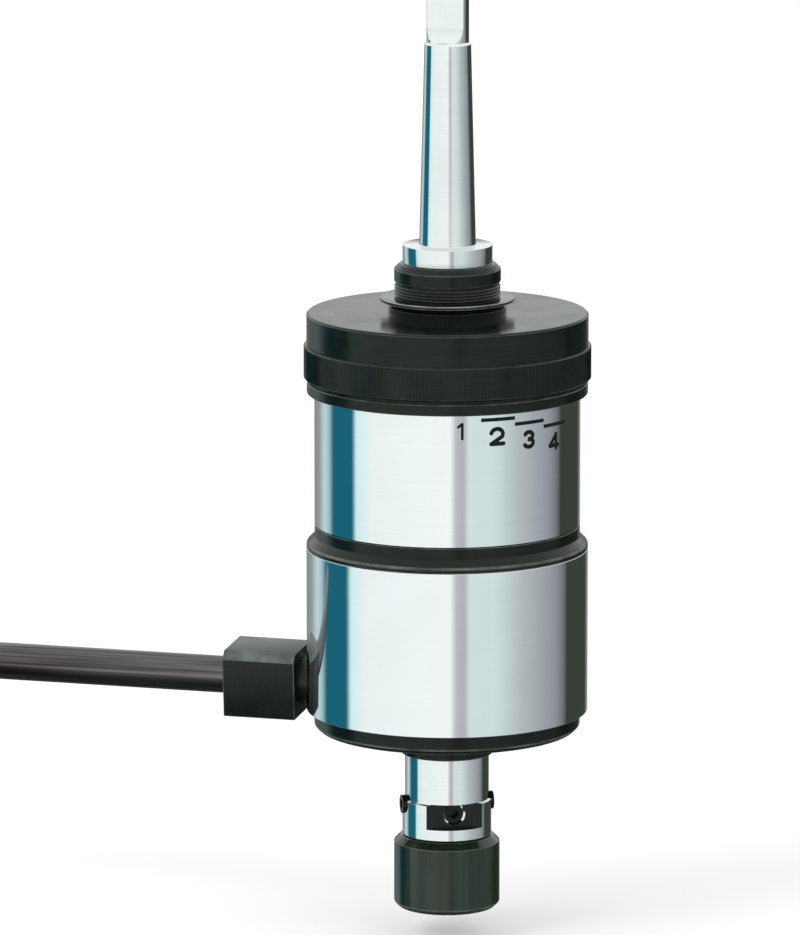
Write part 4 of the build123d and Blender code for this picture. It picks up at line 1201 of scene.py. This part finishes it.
# Colours mirrored by upright polished surfaces, by compass direction in degrees from +X
STUDIO_BANDS = (
    (-180, (0.012, 0.15, 0.22)),
    (-165, (0.012, 0.15, 0.22)),
    (-160, (0.80, 1.05, 1.05)),
    (-145, (1.02, 1.12, 1.10)),
    (-72, (1.12, 1.16, 1.15)),
    (-67, (0.62, 0.62, 0.64)),
    (-60, (0.56, 0.56, 0.59)),
    (-56, (0.80, 0.92, 0.91)),
    (-36, (0.78, 0.92, 0.91)),
    (-10, (0.55, 0.61, 0.61)),
    (25, (0.34, 0.36, 0.40)),
    (36, (0.20, 0.22, 0.21)),
    (42, (0.05, 0.06, 0.045)),
    (82, (0.05, 0.065, 0.05)),
    (92, (0.30, 0.33, 0.31)),
    (112, (0.22, 0.25, 0.24)),
    (138, (0.34, 0.38, 0.38)),
    (152, (0.62, 0.80, 0.82)),
    (160, (0.45, 0.66, 0.70)),
    (168, (0.012, 0.15, 0.22)),
    (180, (0.012, 0.15, 0.22)),
)
# Colours that cover the bands higher up, straight overhead and below: the height in the direction's Z at
# which each starts, and at which it has covered what lies under it
STUDIO_LAYERS = (
    ((0.02, 0.16), (1.0, 1.04, 1.02)),
    ((0.35, 0.85), (1.1, 1.15, 1.15)),
    ((-0.24, -0.50), (0.12, 0.14, 0.14)),
)

# Square lamps: name, place, side and power, and the point that they all face
LAMPS = (
    ("key_light", (-1.4, -1.8, 1.7), 1.4, 26.0),
    ("fill_light", (1.7, -1.2, 1.1), 1.6, 9.0),
)
LAMP_AIM = Vector((0, 0, -0.08))


class HEAD_OT_studio(bpy.types.Operator):
    """Pale floor, soft light and the camera"""

    bl_idname = "tapping_head.studio"
    bl_label = "Studio"

    def execute(self, context):
        settings = context.scene.head_studio
        self.floor(settings)
        self.world(context)
        self.lamps()
        self.camera(context, settings)
        context.scene.view_settings.view_transform = "Standard"
        return {"FINISHED"}

    def floor(self, settings):
        level = Matrix.Translation((0, 0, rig.bounds()[0][2] - settings.floor_drop))
        made = bmesh.new()
        bmesh.ops.create_circle(made, cap_ends=True, segments=96, radius=FLOOR_RADIUS, matrix=level)
        floor = linked("floor", mesh_of(made, "floor"))
        floor.visible_glossy = False
        material = bpy.data.materials.new("studio_floor")
        tree = empty_tree(material)
        place = own_place(tree)
        tone = spread(tree, noise(tree, place, FLOOR_PATCHES), PATCH_RANGE)
        shade = blend(tree, tone, opaque(dimmed(settings.floor, FLOOR_DARK)), opaque(settings.floor))
        shader = output(tree, "BsdfDiffuse", "BSDF", {"Color": shade})
        seen = output(tree, "LightPath", "Is Camera Ray")
        lift = product(tree, seen, spread(tree, reach_of(tree, place), LIFT_RANGE, FLOOR_LIFT))
        glow = output(tree, "Emission", "Emission", {"Color": WHITE, "Strength": lift})
        total = output(tree, "AddShader", "Shader", {0: shader, 1: glow})
        beneath = product(tree, seen, output(tree, "NewGeometry", "Backfacing"))
        shown = either(tree, beneath, total, output(tree, "BsdfTransparent", "BSDF"))
        node(tree, "OutputMaterial", {"Surface": shown})
        floor.data.materials.append(material)
        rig.stage(floor)

    def world(self, context):
        world = bpy.data.worlds.new("studio")
        context.scene.world = world
        tree = empty_tree(world)
        direction = output(tree, "TexCoord", "Generated")
        parts = node(tree, "SeparateXYZ", {"Vector": direction}).outputs
        angle = output(tree, "Math", "Value", {0: parts["Y"], 1: parts["X"]}, operation="ARCTAN2")
        ramp = node(tree, "ValToRGB", {"Fac": spread(tree, angle, (-pi, pi))})
        stops = ramp.color_ramp.elements
        for index, (degrees_round, tone) in enumerate(STUDIO_BANDS):
            position = (degrees_round + 180) / 360
            stop = stops[index] if index < 2 else stops.new(position)
            stop.position = position
            stop.color = opaque(tone)
        shade = ramp.outputs["Color"]
        for heights, tone in STUDIO_LAYERS:
            shade = blend(tree, spread(tree, parts["Z"], heights), shade, opaque(tone))
        path = node(tree, "LightPath").outputs
        soft, mirrored = background(tree, WHITE, SOFT_LIGHT), background(tree, shade)
        light = either(tree, path["Is Glossy Ray"], soft, mirrored)
        shown = either(tree, path["Is Camera Ray"], light, background(tree, WHITE))
        node(tree, "OutputWorld", {"Surface": shown})

    def lamps(self):
        for name, place, size, power in LAMPS:
            lamp = bpy.data.lights.new(name, "AREA")
            lamp.shape = "SQUARE"
            lamp.size = size
            lamp.energy = power
            stand = linked(name, lamp)
            stand.visible_glossy = False
            stand.location = place
            stand.rotation_euler = (LAMP_AIM - Vector(place)).to_track_quat("-Z", "Y").to_euler()

    def camera(self, context, settings):
        turn, tilt = settings.azimuth, settings.pitch
        back = Vector((sin(turn) * cos(tilt), -cos(turn) * cos(tilt), sin(tilt)))
        right = Vector((cos(turn), sin(turn), 0))
        aim = Vector((0, 0, -settings.aim_height)) - right * settings.aim_side
        data = bpy.data.cameras.new("camera")
        data.lens = settings.lens
        data.sensor_width = 36.0
        data.sensor_fit = "AUTO"
        data.clip_end = 50.0
        camera = linked("camera", data)
        camera.location = aim + back * settings.distance
        camera.rotation_euler = (-back).to_track_quat("-Z", "Y").to_euler()
        context.scene.camera = camera


class HEAD_PT_sidebar(bpy.types.Panel):
    """Lists the operators in the order in which they build the head"""

    bl_idname = "HEAD_PT_sidebar"
    bl_label = "Tapping Head"
    bl_space_type = "VIEW_3D"
    bl_region_type = "UI"
    bl_category = "Tapping Head"

    def draw(self, context):
        column = self.layout.column()
        for step in STEPS:
            column.operator(step.bl_idname)


STEPS = (
    HEAD_OT_carried,
    HEAD_OT_arbor,
    HEAD_OT_neck,
    HEAD_OT_cap,
    HEAD_OT_barrel,
    HEAD_OT_housing,
    HEAD_OT_torque_arm,
    HEAD_OT_spindle,
    HEAD_OT_nut,
    HEAD_OT_springs,
    HEAD_OT_studio,
)
CLASSES = (HeadSizes, HeadFinishes, StudioSettings, *STEPS, HEAD_PT_sidebar)


def register():
    for entry in CLASSES:
        bpy.utils.register_class(entry)
    bpy.types.Scene.head_sizes = PointerProperty(type=HeadSizes)
    bpy.types.Scene.head_finishes = PointerProperty(type=HeadFinishes)
    bpy.types.Scene.head_studio = PointerProperty(type=StudioSettings)


def unregister():
    del bpy.types.Scene.head_studio
    del bpy.types.Scene.head_finishes
    del bpy.types.Scene.head_sizes
    for entry in reversed(CLASSES):
        bpy.utils.unregister_class(entry)


def main():
    cad_box = [list(corner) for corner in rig.bounds()]
    register()
    for step in STEPS:
        group, name = step.bl_idname.split(".")
        getattr(getattr(bpy.ops, group), name)()
    with open("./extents.json", "w") as out:
        json.dump({"cad": cad_box, "visual": [list(corner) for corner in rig.bounds()]}, out)


if __name__ == "__main__":
    main()
